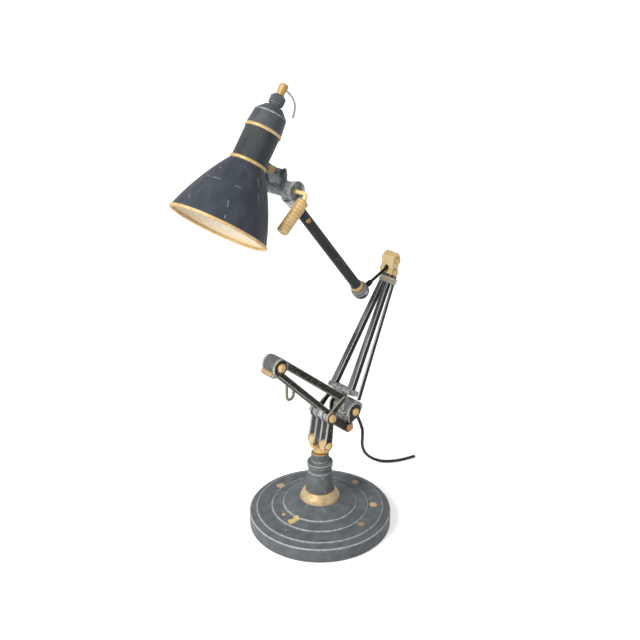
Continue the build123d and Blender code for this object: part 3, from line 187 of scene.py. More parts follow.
def rubbed_edges(tree, place, reach_mm, grain_mm, wear):
    """How bare the outer edges are rubbed, and the normal that rounds them off."""
    rounded = add(tree, "ShaderNodeBevel", {"Radius": reach_mm * MM}, samples=EDGE_SAMPLES)
    face = add(tree, "ShaderNodeNewGeometry", out="Normal")
    alike = add(tree, "ShaderNodeVectorMath", {0: rounded, 1: face}, "Value",
                operation="DOT_PRODUCT")
    bent = add(tree, "ShaderNodeMapRange",
               {"Value": alike, "From Min": 0.995, "From Max": 0.85})
    air = add(tree, "ShaderNodeAmbientOcclusion", {"Distance": 2 * reach_mm * MM}, "AO",
              samples=EDGE_SAMPLES, only_local=True)
    open_air = add(tree, "ShaderNodeMapRange", {"Value": air, "From Min": 0.7, "From Max": 0.9})
    outer = add(tree, "ShaderNodeMath", {0: bent, 1: open_air}, operation="MULTIPLY")
    grain = add(tree, "ShaderNodeTexNoise",
                {"Vector": place, "Scale": per_metre(grain_mm), "Detail": 5.0})
    broken = add(tree, "ShaderNodeMath", {0: grain, 1: EDGE_BREAK, 2: outer},
                 operation="MULTIPLY_ADD")
    share = add(tree, "ShaderNodeMapRange",
                {"Value": broken, "From Min": 0.9 - wear, "From Max": 1.1 - wear})
    return share, rounded


def on_axis(tree, place, origin, axis):
    """How far a place lies off an axis, as a vector, and its height along the axis."""
    offset = add(tree, "ShaderNodeVectorMath", {0: place, 1: tuple(origin)},
                 operation="SUBTRACT")
    height = add(tree, "ShaderNodeVectorMath", {0: offset, 1: tuple(axis)}, "Value",
                 operation="DOT_PRODUCT")
    along = add(tree, "ShaderNodeVectorMath", {0: offset, 1: tuple(axis)}, operation="PROJECT")
    across = add(tree, "ShaderNodeVectorMath", {0: offset, 1: along}, operation="SUBTRACT")
    return across, height


def worn_rings(tree, place, origin, axis, rings_mm, half_mm):
    """How bare the round edges are rubbed, each edge given by its radius and height."""
    across, height = on_axis(tree, place, origin, axis)
    radius = add(tree, "ShaderNodeVectorMath", {0: across}, "Value", operation="LENGTH")
    section = add(tree, "ShaderNodeCombineXYZ", {"X": radius, "Y": height})
    fray = add(tree, "ShaderNodeTexNoise",
               {"Vector": place, "Scale": per_metre(RING_FRAY), "Detail": 5.0})
    half = half_mm * MM
    share = 0.0
    for radius_mm, height_mm in rings_mm:
        ring = radius_mm * MM, height_mm * MM, 0
        away = add(tree, "ShaderNodeVectorMath", {0: section, 1: ring}, "Value",
                   operation="DISTANCE")
        frayed = add(tree, "ShaderNodeMath", {0: fray, 1: 2 * half, 2: away},
                     operation="MULTIPLY_ADD")
        line = add(tree, "ShaderNodeMapRange",
                   {"Value": frayed, "From Min": 2.1 * half, "From Max": 1.3 * half})
        share = add(tree, "ShaderNodeMath", {0: line, 1: share}, operation="MAXIMUM")
    return share


def strokes(tree, place, lines_mm):
    """How bare the paint is along single broken scratches, each given by its points."""
    skip = add(tree, "ShaderNodeTexNoise",
               {"Vector": place, "Scale": per_metre(SCRATCH_FRAY), "Detail": 3.0})
    half = SCRATCH_HALF * MM
    share = 0.0
    for start_mm, end_mm in (pair for line in lines_mm for pair in zip(line, line[1:])):
        start, end = Vector(start_mm) * MM, Vector(end_mm) * MM
        run = end - start
        offset = add(tree, "ShaderNodeVectorMath", {0: place, 1: tuple(start)},
                     operation="SUBTRACT")
        part = add(tree, "ShaderNodeVectorMath", {0: offset, 1: tuple(run / run.length_squared)},
                   "Value", operation="DOT_PRODUCT")
        part = add(tree, "ShaderNodeMath", {0: part, 1: 0.0}, operation="ADD", use_clamp=True)
        foot = add(tree, "ShaderNodeVectorMath", {0: tuple(run), "Scale": part},
                   operation="SCALE")
        away = add(tree, "ShaderNodeVectorMath", {0: offset, 1: foot}, "Value",
                   operation="DISTANCE")
        frayed = add(tree, "ShaderNodeMath", {0: skip, 1: -2 * half, 2: away},
                     operation="MULTIPLY_ADD")
        line = add(tree, "ShaderNodeMapRange",
                   {"Value": frayed, "From Min": 0, "From Max": -0.8 * half, "To Max": 0.8})
        share = add(tree, "ShaderNodeMath", {0: line, 1: share}, operation="MAXIMUM")
    return share


def nicks(tree, place, turn):
    """Short bright nicks, drawn out along a turned Z, of which only a share is kept."""
    drawn = add(tree, "ShaderNodeMapping",
                {"Vector": place, "Rotation": turn, "Scale": (1, 1, NICK_DRAW)},
                vector_type="TEXTURE")
    cells = add(tree, "ShaderNodeTexVoronoi",
                {"Vector": drawn, "Scale": per_metre(NICK_PITCH)}, "Distance")
    half = NICK_WIDTH / NICK_PITCH / 2
    mark = add(tree, "ShaderNodeMapRange",
               {"Value": cells, "From Min": half, "From Max": half * 0.6})
    red = add(tree, "ShaderNodeSeparateColor", {"Color": cells.node.outputs["Color"]}, "Red")
    chosen = add(tree, "ShaderNodeMath", {0: red, 1: NICKS_KEPT}, operation="LESS_THAN")
    return add(tree, "ShaderNodeMath", {0: mark, 1: chosen}, operation="MULTIPLY")


def painted(name, body, tint, bare, reach_mm=1.2, wear=0.35, mottle_mm=14, turn=(0, 0, 0),
            streak=1, rings=None, ring_mm=0.8, lines=(), change=None):
    """Old satin paint on metal: cloudy or streaky, with pale rubbed edges and a few nicks."""
    material, tree, place = start_finish(name)
    drawn = add(tree, "ShaderNodeMapping",
                {"Vector": place, "Rotation": turn, "Scale": (1, 1, streak)},
                vector_type="TEXTURE")
    cloud = add(tree, "ShaderNodeTexNoise",
                {"Vector": drawn, "Scale": per_metre(mottle_mm), "Detail": 6.0})
    share = add(tree, "ShaderNodeMapRange", {"Value": cloud, "From Min": 0.36, "From Max": 0.66})
    colour = add(tree, "ShaderNodeMix", {"Factor": share, "A": linear(body), "B": linear(tint)},
                 data_type="RGBA")
    worn, rounded = rubbed_edges(tree, place, reach_mm, grain_mm=3.0, wear=wear)
    marks = [nicks(tree, place, turn)]
    if rings:
        marks.append(worn_rings(tree, place, *rings, ring_mm))
    if lines:
        marks.append(strokes(tree, place, lines))
    for mark in marks:
        worn = add(tree, "ShaderNodeMath", {0: worn, 1: mark}, operation="MAXIMUM")
    if change:
        colour = change(tree, place, colour)
    colour = add(tree, "ShaderNodeMix", {"Factor": worn, "A": colour, "B": linear(bare)},
                 data_type="RGBA")
    grit = add(tree, "ShaderNodeTexNoise",
               {"Vector": place, "Scale": per_metre(PAINT_GRIT), "Detail": 3.0})
    rough = add(tree, "ShaderNodeMapRange", {"Value": grit, "To Min": 0.4, "To Max": 0.6})
    height = add(tree, "ShaderNodeMath", {0: grit, 1: worn}, operation="SUBTRACT")
    normal = add(tree, "ShaderNodeBump",
                 {"Height": height, "Normal": rounded, "Strength": 0.3, "Distance": 0.15 * MM})
    close_finish(tree, colour, rough, normal, gloss=0.15)
    return material


def cast(name, body, pale, dark, wear, grit_mm=CAST_GRIT):
    """Sand-cast metal: salt-and-pepper grit, darker patches and rubbed edges."""
    material, tree, place = start_finish(name)
    grit = add(tree, "ShaderNodeTexNoise",
               {"Vector": place, "Scale": per_metre(grit_mm), "Detail": 5.0})
    patch = add(tree, "ShaderNodeTexNoise",
                {"Vector": place, "Scale": per_metre(4 * grit_mm), "Detail": 3.0})
    sunk = add(tree, "ShaderNodeMapRange", {"Value": patch, "From Min": 0.4, "From Max": 0.62})
    colour = add(tree, "ShaderNodeMix", {"Factor": sunk, "A": linear(body), "B": linear(dark)},
                 data_type="RGBA")
    edges, rounded = rubbed_edges(tree, place, reach_mm=1.0, grain_mm=2.5, wear=wear)
    salt = add(tree, "ShaderNodeMapRange", {"Value": grit, "From Min": 0.52, "From Max": 0.64})
    worn = add(tree, "ShaderNodeMath", {0: edges, 1: salt}, operation="MAXIMUM")
    colour = add(tree, "ShaderNodeMix", {"Factor": worn, "A": colour, "B": linear(pale)},
                 data_type="RGBA")
    normal = add(tree, "ShaderNodeBump",
                 {"Height": grit, "Normal": rounded, "Strength": 0.5, "Distance": 0.4 * MM})
    close_finish(tree, colour, rough=0.6, normal=normal, metal=0.15, gloss=0.3)
    return material


def brass(name, body, pale, tarnish, share=0.5, rough=0.42, metal=0.4):
    """Unlacquered brass gone dull: paler handled edges, brown tarnish in specks and corners."""
    material, tree, place = start_finish(name)
    patch = add(tree, "ShaderNodeTexNoise",
                {"Vector": place, "Scale": per_metre(BRASS_PATCH), "Detail": 6.0})
    bright = add(tree, "ShaderNodeMapRange", {"Value": patch, "From Min": 0.4, "From Max": 0.65})
    colour = add(tree, "ShaderNodeMix", {"Factor": bright, "A": linear(body), "B": linear(pale)},
                 data_type="RGBA")
    edges, rounded = rubbed_edges(tree, place, reach_mm=0.9, grain_mm=3.0, wear=0.3)
    colour = add(tree, "ShaderNodeMix", {"Factor": edges, "A": colour, "B": linear(pale)},
                 data_type="RGBA")
    air = add(tree, "ShaderNodeAmbientOcclusion", {"Distance": BRASS_CORNER * MM}, "AO",
              samples=EDGE_SAMPLES)
    corner = add(tree, "ShaderNodeMapRange",
                 {"Value": air, "From Min": 0.75, "From Max": 0.3, "To Max": 0.8})
    speck = add(tree, "ShaderNodeTexNoise",
                {"Vector": place, "Scale": per_metre(BRASS_SPECK), "Detail": 6.0})
    spots = add(tree, "ShaderNodeMapRange",
                {"Value": speck, "From Min": 0.58, "From Max": 0.72, "To Max": share})
    brown = add(tree, "ShaderNodeMath", {0: corner, 1: spots}, operation="MAXIMUM")
    colour = add(tree, "ShaderNodeMix", {"Factor": brown, "A": colour, "B": linear(tarnish)},
                 data_type="RGBA")
    rough = add(tree, "ShaderNodeMapRange",
                {"Value": speck, "To Min": rough - 0.1, "To Max": rough + 0.15})
    normal = add(tree, "ShaderNodeBump",
                 {"Height": patch, "Normal": rounded, "Strength": 0.25, "Distance": 0.3 * MM})
    close_finish(tree, colour, rough, normal, metal)
    return material


def turned(name, body, dark, turn=(0, 0, 0), rough=0.35, metal=0.7, change=None):
    """Turned steel: fine rings round its axis, with dull patches."""
    material, tree, place = start_finish(name)
    drawn = add(tree, "ShaderNodeMapping",
                {"Vector": place, "Rotation": turn, "Scale": (TURNED_DRAW, TURNED_DRAW, 1)},
                vector_type="TEXTURE")
    rings = add(tree, "ShaderNodeTexNoise",
                {"Vector": drawn, "Scale": per_metre(TURNED_RING), "Detail": 4.0})
    share = add(tree, "ShaderNodeMapRange", {"Value": rings, "From Min": 0.35, "From Max": 0.65})
    colour = add(tree, "ShaderNodeMix", {"Factor": share, "A": linear(dark), "B": linear(body)},
                 data_type="RGBA")
    edges, rounded = rubbed_edges(tree, place, reach_mm=0.8, grain_mm=2.5, wear=0.3)
    normal = add(tree, "ShaderNodeBump",
                 {"Height": rings, "Normal": rounded, "Strength": 0.2, "Distance": 0.2 * MM})
    colour = add(tree, "ShaderNodeMix", {"Factor": edges, "A": colour, "B": linear(STEEL_BARE)},
                 data_type="RGBA")
    if change:
        colour = change(tree, place, colour)
    close_finish(tree, colour, rough, normal, metal)
    return material


def dull(name, body, dust, grain_mm=2.0, rough=0.8, relief_mm=0.2, change=None):
    """Matt moulded, pressed or woven stuff with a dusty bloom and a fine grain."""
    material, tree, place = start_finish(name)
    bloom = add(tree, "ShaderNodeTexNoise",
                {"Vector": place, "Scale": per_metre(4 * grain_mm), "Detail": 5.0})
    share = add(tree, "ShaderNodeMapRange", {"Value": bloom, "From Min": 0.42, "From Max": 0.75})
    colour = add(tree, "ShaderNodeMix", {"Factor": share, "A": linear(body), "B": linear(dust)},
                 data_type="RGBA")
    if change:
        colour = change(tree, place, colour)
    grain = add(tree, "ShaderNodeTexNoise",
                {"Vector": place, "Scale": per_metre(grain_mm), "Detail": 4.0})
    normal = add(tree, "ShaderNodeBump",
                 {"Height": grain, "Strength": 0.4, "Distance": relief_mm * MM})
    close_finish(tree, colour, rough, normal, gloss=0.2)
    return material


# Edges that the paint is rubbed off, by radius and height in mm: on the base and the pillar
# from the table, and on the socket cap from the shade's mouth
BASE_EDGES = (57, 38), (75, 33), (98.5, 30), (109.2, 24.3)
PILLAR_EDGES = (18.6, 95), (19.7, 104), (19.7, 110), (13.5, 114)
CAP_EDGES = (22, 158.75), (12.5, 168.75), (8.7, 184.3)

# Height of the bulb's screw cap from the shade's mouth, in mm
BULB_JOINT = 91.45

# Single scratches, by their points in mm
BASE_SCRATCHES = (
    ((-21.3, -27.5, 46.5), (-22.8, -37.6, 43)),
    ((-86.8, -14.9, 30.5), (-80.5, -15.1, 30.7)),
    ((-85.8, -13.9, 30.5), (-81.5, -14.1, 30.7)),
    ((-71.4, 37.2, 30.8), (-63.4, 38.3, 33.2)),
    ((-33.1, 71.1, 30.9), (-35.4, 63.5, 33.4), (-31.4, 59.9, 34.3)),
    ((64, -43.9, 30.9), (74.2, -42.5, 30.6)),
    ((71, -54, 30.4), (72.3, -64.3, 30.1)),
    ((-36.9, -6.1, 45.5), (-32.7, -5.3, 47.2)),
    ((-97.4, -16.6, 29.3), (-92.4, -16.1, 30.2)),
    ((37.5, -24.5, 45.3), (44.9, -25.9, 42.2)),
)
PILLAR_SCRATCHES = (
    ((-10, -15.9, 92.7), (-9.3, -16.9, 87.5)),
    ((-9.1, -18.7, 72), (-7.2, -20.3, 64.6)),
)
SHADE_SCRATCHES = (
    ((-139.2, -35.7, 599.2), (-141.8, -39.5, 594.2), (-144.8, -43.2, 589.2)),
    ((-148.5, -47.5, 583.3), (-151.5, -51.4, 577.2), (-154.6, -55.2, 570.6)),
    ((-194.4, -45.2, 585), (-198.9, -49.3, 579.6)),
    ((-206.8, -54.3, 571.6), (-208.9, -55.7, 569.3)),
    ((-176.4, -36.5, 597.9), (-173.7, -38.9, 596.5), (-170.7, -41.5, 594.6)),
    ((-218.9, 0.6, 587.6), (-223.3, -3.9, 585.2)),
    ((-172.6, -2.3, 611.9), (-169.4, -1.6, 613.1)),
    ((-188.5, 2.3, 604.2), (-187.6, -10.6, 604.8), (-184.7, -20.1, 603.9)),
    ((-150.6, 0.2, 620.1), (-148, -0.6, 621.1)),
)
TUBE_SCRATCHES = (((27.1, -7.3, 437.6), (38.1, -7.3, 429), (42, -7.5, 422.5)),)

# Bare metal in spots, by their middle and radius in mm and their colour
BASE_CHIPS = (
    ((-10.4, 80.9, 31), 6.5, "#cfb091"),
    ((83.7, 7.3, 31), 6.2, "#cfb091"),
    ((59.7, -56.8, 31), 6.2, "#d3b487"),
    ((9.6, -81.3, 31), 5.2, "#a88f76"),
    ((-58.5, -9, 37.4), 5.2, "#dcbd82"),
    ((-66, -8, 34.6), 5.6, "#dcbd82"),
    ((-63.7, 13.3, 34.7), 2.8, "#dcbd82"),
)
TUBE_RUB = (((-27.7, -7.3, 507.8), 3.5, "#d0a868"),)
BRACKET_RUB = (((-95.7, -12.1, 595.8), 7, "#cda76d"),)


def spotted(spots_mm):
    """Change of a finish that shows bare metal in frayed spots."""
    outer, inner = SPOT_EDGE

    def change(tree, place, colour):
        fray = add(tree, "ShaderNodeTexNoise",
                   {"Vector": place, "Scale": per_metre(SPOT_FRAY), "Detail": 4.0})
        for spot_mm, radius, hex_colour in spots_mm:
            away = add(tree, "ShaderNodeVectorMath", {0: place, 1: tuple(Vector(spot_mm) * MM)},
                       "Value", operation="DISTANCE")
            frayed = add(tree, "ShaderNodeMath", {0: fray, 1: -SPOT_RAGGED * MM, 2: away},
                         operation="MULTIPLY_ADD")
            spot = add(tree, "ShaderNodeMapRange", {
                "Value": frayed, "From Min": (radius - outer) * MM,
                "From Max": (radius - inner) * MM,
            })
            colour = add(tree, "ShaderNodeMix",
                         {"Factor": spot, "A": colour, "B": linear(hex_colour)},
                         data_type="RGBA")
        return colour
    return change


def banded(origin, axis, steps):
    """Change of a finish that takes another colour from each height on along an axis."""
    def change(tree, place, colour):
        _, height = on_axis(tree, place, origin, axis)
        for start_mm, hex_colour in steps:
            past = add(tree, "ShaderNodeMapRange", {
                "Value": height, "From Min": (start_mm - BAND_HALF) * MM,
                "From Max": (start_mm + BAND_HALF) * MM,
            })
            colour = add(tree, "ShaderNodeMix",
                         {"Factor": past, "A": colour, "B": linear(hex_colour)},
                         data_type="RGBA")
        return colour
    return change


def scuffed_lit_front(direction, dark, pale):
    """Change of a finish: forward faces worn to streaks and painted lighter as the lit side, with a
    painted highlight on the near edge.
    """
    def change(tree, place, colour):
        face = add(tree, "ShaderNodeTexCoord", out="Normal")
        ahead = add(tree, "ShaderNodeVectorMath", {0: face, 1: FORWARD}, "Value",
                    operation="DOT_PRODUCT")
        # The forward faces take the worn streaks and are painted lighter, as the side the key light
        # falls on
        front = add(tree, "ShaderNodeMapRange",
                    {"Value": ahead, "From Min": 0.3, "From Max": 0.6})
        drawn = add(tree, "ShaderNodeMapping", {
            "Vector": place, "Rotation": heading(direction), "Scale": (1, 1, FRONT_DRAW),
        }, vector_type="TEXTURE")
        streak = add(tree, "ShaderNodeTexNoise",
                     {"Vector": drawn, "Scale": per_metre(FRONT_STREAK), "Detail": 4.0})
        bright = add(tree, "ShaderNodeMapRange",
                     {"Value": streak, "From Min": 0.38, "From Max": 0.62})
        worn = add(tree, "ShaderNodeMix",
                   {"Factor": bright, "A": linear(dark), "B": linear(pale)}, data_type="RGBA")
        # Painted highlight: a bright line along the near arris of the forward face
        rounded = add(tree, "ShaderNodeBevel", {"Radius": FRONT_ARRIS * MM},
                      samples=EDGE_SAMPLES)
        rounded = add(tree, "ShaderNodeVectorTransform", {"Vector": rounded},
                      vector_type="NORMAL", convert_from="WORLD", convert_to="OBJECT")
        near = add(tree, "ShaderNodeVectorMath", {0: rounded, 1: NEAR_SIDE}, "Value",
                   operation="DOT_PRODUCT")
        line = add(tree, "ShaderNodeMapRange",
                   {"Value": near, "From Min": 0.1, "From Max": 0.25})
        worn = add(tree, "ShaderNodeMix",
                   {"Factor": line, "A": worn, "B": linear(ARRIS_HIGHLIGHT)}, data_type="RGBA")
        return add(tree, "ShaderNodeMix", {"Factor": front, "A": colour, "B": worn},
                   data_type="RGBA")
    return change


def bare_sides(hex_colour):
    """Change of a finish that is rubbed off the narrow sides of a plate, which lies square to Y."""
    def change(tree, place, colour):
        face = add(tree, "ShaderNodeTexCoord", out="Normal")
        across = add(tree, "ShaderNodeSeparateXYZ", {"Vector": face}, "Y")
        flat = add(tree, "ShaderNodeMath", {0: across}, operation="ABSOLUTE")
        narrow = add(tree, "ShaderNodeMapRange",
                     {"Value": flat, "From Min": 0.7, "From Max": 0.4})
        fray = add(tree, "ShaderNodeTexNoise",
                   {"Vector": place, "Scale": per_metre(SIDE_FRAY), "Detail": 5.0})
        left = add(tree, "ShaderNodeMapRange",
                   {"Value": fray, "From Min": 0.35, "From Max": 0.55, "To Min": 0.25})
        share = add(tree, "ShaderNodeMath", {0: narrow, 1: left}, operation="MULTIPLY")
        return add(tree, "ShaderNodeMix",
                   {"Factor": share, "A": colour, "B": linear(hex_colour)}, data_type="RGBA")
    return change


def cream_inside(tree, place, colour):
    """Cream enamel on the faces that look towards the shade's axis, with an amber reflection of the
    brass rim painted towards the mouth.
    """
    face = add(tree, "ShaderNodeTexCoord", out="Normal")
    radial, deep = on_axis(tree, place, shade_mouth, shade_axis)
    outward = add(tree, "ShaderNodeVectorMath", {0: radial, 1: face}, "Value",
                  operation="DOT_PRODUCT")
    inner = add(tree, "ShaderNodeMath", {0: outward, 1: 0.0}, operation="LESS_THAN")
    dust = add(tree, "ShaderNodeTexNoise",
               {"Vector": place, "Scale": per_metre(CREAM_DUST), "Detail": 5.0})
    cream = add(tree, "ShaderNodeMix",
                {"Factor": dust, "A": linear(CREAM), "B": linear(CREAM_DULL)}, data_type="RGBA")
    # Painted reflection of the brass rim, amber and strongest at the mouth
    rim_reflection = add(tree, "ShaderNodeMapRange",
                {"Value": deep, "From Min": RIM_REFLECTION_FROM * MM, "From Max": RIM_REFLECTION_FULL * MM})
    cream = add(tree, "ShaderNodeMix", {"Factor": rim_reflection, "A": cream, "B": linear(CREAM_RIM_REFLECTION)},
                data_type="RGBA")
    return add(tree, "ShaderNodeMix", {"Factor": inner, "A": colour, "B": cream},
               data_type="RGBA")


def scuffed_lit_rod(node, dark, pale):
    """Black paint on a rod, gone from the front in long grey streaks, the front also painted
    lighter as the lit side.
    """
    return painted(f"scuffed_lit_paint_on_{node}", "#1a1c1d", "#303234", "#c9ccce", wear=0.42,
                   turn=heading(lie(node)), streak=14, mottle_mm=3.5,
                   change=scuffed_lit_front(lie(node), dark, pale))


finishes = {
    # Grey enamel, worn to pale rings along the steps of the base, with chips to brassy primer
    painted("enamel_on_cast_iron", "#5e6368", "#6e7378", PAINT_BARE, wear=0.3, ring_mm=1.3,
            rings=(*UPRIGHT, BASE_EDGES), lines=BASE_SCRATCHES,
            change=spotted(BASE_CHIPS)): ["base_casting"],
    # The same enamel on the pillar, rubbed pale on its rings
    painted("enamel_on_turned_iron", "#5d6264", "#717678", PAINT_BARE, wear=0.3,
            rings=(*UPRIGHT, PILLAR_EDGES), lines=PILLAR_SCRATCHES): ["pillar"],
    # Blue-black enamel outside the bell with a few scratches, and cream enamel inside, with a
    # painted amber reflection of the brass rim near the mouth
    painted("enamel_on_spun_steel", "#3a4048", "#484e57", PAINT_BARE, turn=heading(shade_axis),
            streak=3, lines=SHADE_SCRATCHES, change=cream_inside): ["shade"],
    # Darker, smoother enamel on the sleeve
    painted("enamel_on_drawn_tube", "#35393c", "#484c4e", PAINT_BARE, wear=0.25,
            turn=heading(shade_axis), streak=3): ["neck_sleeve"],
    # Lighter enamel on the cap, rubbed pale round its shoulders
    painted("enamel_on_pressed_steel", "#484d53", "#5c6167", PAINT_BARE, wear=0.3,
            turn=heading(shade_axis), streak=3,
            rings=(shade_mouth, shade_axis, CAP_EDGES)): ["socket_cap"],
    # Grey paint on the inner plates and the far straps, bare on their narrow sides
    painted("grey_paint_on_plate", "#74797d", "#8e9397", "#c4c9cc", wear=0.45,
            change=bare_sides("#a9adae")): [
        "cradle_plate_inner_near", "cradle_plate_inner_far", "cradle_plate_outer_far",
        "lower_strap_far", "upper_strap_far",
    ],
    # Finely mottled grey on the heavy weight
    painted("grey_paint_on_lead", "#54575a", "#707376", PAINT_BARE, wear=0.45,
            mottle_mm=3): ["counterweight"],
    # Lighter grey on the head's bracket, handled down to brass
    painted("grey_paint_on_bracket", "#6b7175", "#8d9296", "#d3d7d9", wear=0.5,
            change=spotted(BRACKET_RUB)): ["head_bracket", "wing_screw"],
    # Black japan on the near straps and plates, cream on the rubbed sides
    painted("black_japan_on_strap", BLACK, BLACK_TINT, BLACK_BARE, reach_mm=2.4, wear=0.55,
            turn=heading(strap_axis), streak=8, change=bare_sides("#b9b7ab")): [
        "lower_strap_near", "upper_strap_near", "corner_struts", "cradle_plate_outer_near",
        "rear_ear_near", "rear_ear_far",
    ],
    # Plain black japan on the thin link
    painted("black_japan_on_wire", BLACK, BLACK_TINT, BLACK_BARE, wear=0.3): ["link_rod"],
    # Blue-black japan, drawn out along the tube, with one spot rubbed to brass
    painted("black_japan_on_tube", "#2b2e32", "#3b3f44", "#9a9fa3", turn=heading(tube_axis),
            streak=10, mottle_mm=4, lines=TUBE_SCRATCHES, change=spotted(TUBE_RUB)): ["arm_tube"],
    # Black rods with silvery worn fronts, also painted lighter as the lit side, with a painted
    # highlight on the near arris; the rear bar the brightest
    scuffed_lit_rod("rod_near_front", "#33373a", "#7d8183"): ["rod_near_front"],
    scuffed_lit_rod("rod_far_front", "#33373a", "#74787a"): ["rod_far_front"],
    scuffed_lit_rod("rod_near_rear", "#7c8083", "#d3d6d7"): ["rod_near_rear"],
    # Gritty bare iron, silvery on the elbow and brighter on the drum
    cast("grey_cast_iron", "#8d9092", "#cdd0d2", "#54575a", wear=0.5): ["elbow_casting"],
    cast("bright_cast_iron", "#b4b7b9", "#eceeef", "#6c6f72", wear=0.55): ["rear_bracket"],
    # Blue-grey cast barrel with finer grit
    cast("barrel_cast_iron", "#aab1b6", "#dfe4e7", "#7f868b", wear=0.5,
         grit_mm=2): ["head_barrel"],
    # Dull yellow brass of the fittings, brown in the corners
    brass("dull_brass", "#cda668", "#dbc08c", "#94642f", metal=0.2): [
        "yoke", "yoke_bolts", "main_pivot_bolt", "ear_bolts", "weight_bolt", "tube_ring",
        "shade_rim", "neck_rings", "knuckle_bolts", "grip",
    ],
    # Worn beige roller, spotted brown
    brass("spotted_brass", "#b3946e", "#cfb991", "#74461f", share=0.95,
          metal=0.1): ["trim_roller"],
    # Paler, greyer brass of the collar
    brass("worn_brass", "#b99f72", "#c9b48c", "#8f6a3c", metal=0.15): ["brass_collar"],
    # Darker plug, brown at its foot
    brass("plug_brass", "#b28d54", "#c5a46c", "#8a5c31", metal=0.15): ["switch_plug"],
    # Pale straw brass of the knuckle and the bent rod
    brass("pale_brass", "#ffdf9d", "#ffe9b6", "#cc9a52", share=0.15, rough=0.5, metal=0.0): [
        "knuckle_near", "knuckle_far", "crank_rod",
    ],
    # Reddish bolt at the rear
    brass("copper_bolt", "#a9744f", "#c08f68", "#6d4630"): ["rear_bolt"],
    # Bronze bush inside the pillar
    brass("bearing_bronze", "#b98a4a", "#d2ab6c", "#7c5528"): ["pillar_bush"],
    # Grey ball cap with one bright and several dark turned rings
    turned("ringed_steel", "#34373b", "#232528", turn=heading(tube_axis), metal=0.2,
           change=banded(joint_place["tube_tilt"], tube_axis, (
               (1.2, "#c6c9cc"), (2.2, "#5c5e63"), (4.4, "#333539"), (5.2, "#7c7d82"),
           ))): ["tube_cap"],
    # Polished collar, silver, with white bands painted on as highlights between dark bands
    turned("polished_steel", "#d9dcdf", "#a9adb2", turn=heading(tube_axis), metal=0.5,
           change=banded(middle("tube_collar"), tube_axis, (
               (-4.5, "#54585d"), (-3, "#eef0f1"), (0, "#5f6369"), (1.5, "#e4e6e8"),
               (4.5, "#6e7277"),
           ))): ["tube_collar"],
    # Plain bright steel of the hidden fasteners
    turned("bright_steel", "#bcbfc5", "#6c7076"): ["cap_pin", "base_nut", "pivot_spacers"],
    # Zinc gone yellowish on the clamp
    turned("dull_zinc", "#d6ceb2", "#a69f87", turn=heading(rod_axis), rough=0.5,
           metal=0.2): ["rod_clamp"],
    # Darker, greenish wire
    turned("dull_wire", "#97937d", "#6f6c5b", rough=0.5, metal=0.1): ["wire_eye"],
    # Black rubber with a little dust
    dull("black_rubber", "#141516", "#2a2b2d"): ["cord_gland", "link_boot"],
    # Dark brown moulded lampholder
    dull("brown_phenolic", "#231a14", "#33271e", rough=0.45): ["lampholder"],
    # Brown pressed felt
    dull("brown_felt", "#6a5539", "#8a7350", grain_mm=0.8, rough=0.95): ["felt_pad"],
    # White frosted bulb on a grey screw cap
    dull("frosted_glass", "#e9e6df", "#f6f3ec", rough=0.3, relief_mm=0.02,
         change=banded(shade_mouth, shade_axis, ((BULB_JOINT, "#b9bcc0"),))): ["bulb"],
}
for material, names in finishes.items():
    for name in names:
        nodes[name].data.materials.clear()
        nodes[name].data.materials.append(material)


# Cords
def route_curve(name, route_mm):
    """One smooth spline with the route's points as its control points."""
    curve = bpy.data.curves.new(name, "CURVE")
    curve.dimensions = "3D"
    curve.resolution_u = 12
    spline = curve.splines.new("NURBS")
    spline.points.add(len(route_mm) - 1)
    for point, place in zip(spline.points, route_mm):
        point.co = (*(Vector(place) * MM), 1)
    spline.order_u = 3
    spline.use_endpoint_u = True
    return put(name, curve)


def braided_cotton(name, body, thread, length_mm, girth_mm, thread_mm):
    """Cotton braid: two sets of threads that cross round the flex."""
    material, tree, place = start_finish(name)
    along = add(tree, "ShaderNodeSeparateXYZ", {"Vector": place.node.outputs["UV"]}, "X")
    around = along.node.outputs["Y"]
    turns = length_mm / (thread_mm * 4) * tau                 # a wave for every four threads along
    round_count = round(girth_mm / (thread_mm * 2)) * tau     # and for every two threads round
    lead = add(tree, "ShaderNodeMath", {0: along, 1: turns}, operation="MULTIPLY")
    waves = []
    for side in (1, -1):
        phase = add(tree, "ShaderNodeMath", {0: around, 1: side * round_count, 2: lead},
                    operation="MULTIPLY_ADD")
        waves.append(add(tree, "ShaderNodeMath", {0: phase}, operation="SINE"))
    weave = add(tree, "ShaderNodeMath", {0: waves[0], 1: waves[1]}, operation="MAXIMUM")
    share = add(tree, "ShaderNodeMapRange", {"Value": weave, "From Min": 0.2, "From Max": 1.0})
    colour = add(tree, "ShaderNodeMix",
                 {"Factor": share, "A": linear(body), "B": linear(thread)}, data_type="RGBA")
    normal = add(tree, "ShaderNodeBump",
                 {"Height": weave, "Strength": 0.6, "Distance": 0.4 * MM})
    close_finish(tree, colour, rough=0.75, normal=normal)
    return material


# The flex leaves the gland, hangs down behind the arm and runs out on the table
MAINS_DIAMETER = 5
MAINS_LENGTH = 266.5
MAINS_THREAD = 1.3
MAINS_ROUTE = (
    (78.7, 0, 159.4), (90.98, 0, 134.23), (105, 12.5, 107), (121, 29.5, 77.5), (142, 46.5, 49),
    (162, 58, 26), (178, 58.5, 11), (191, 50.5, 4), (205.5, 40, 2.6), (225, 30, 2.6),
    (246, 24.8, 2.6),
)

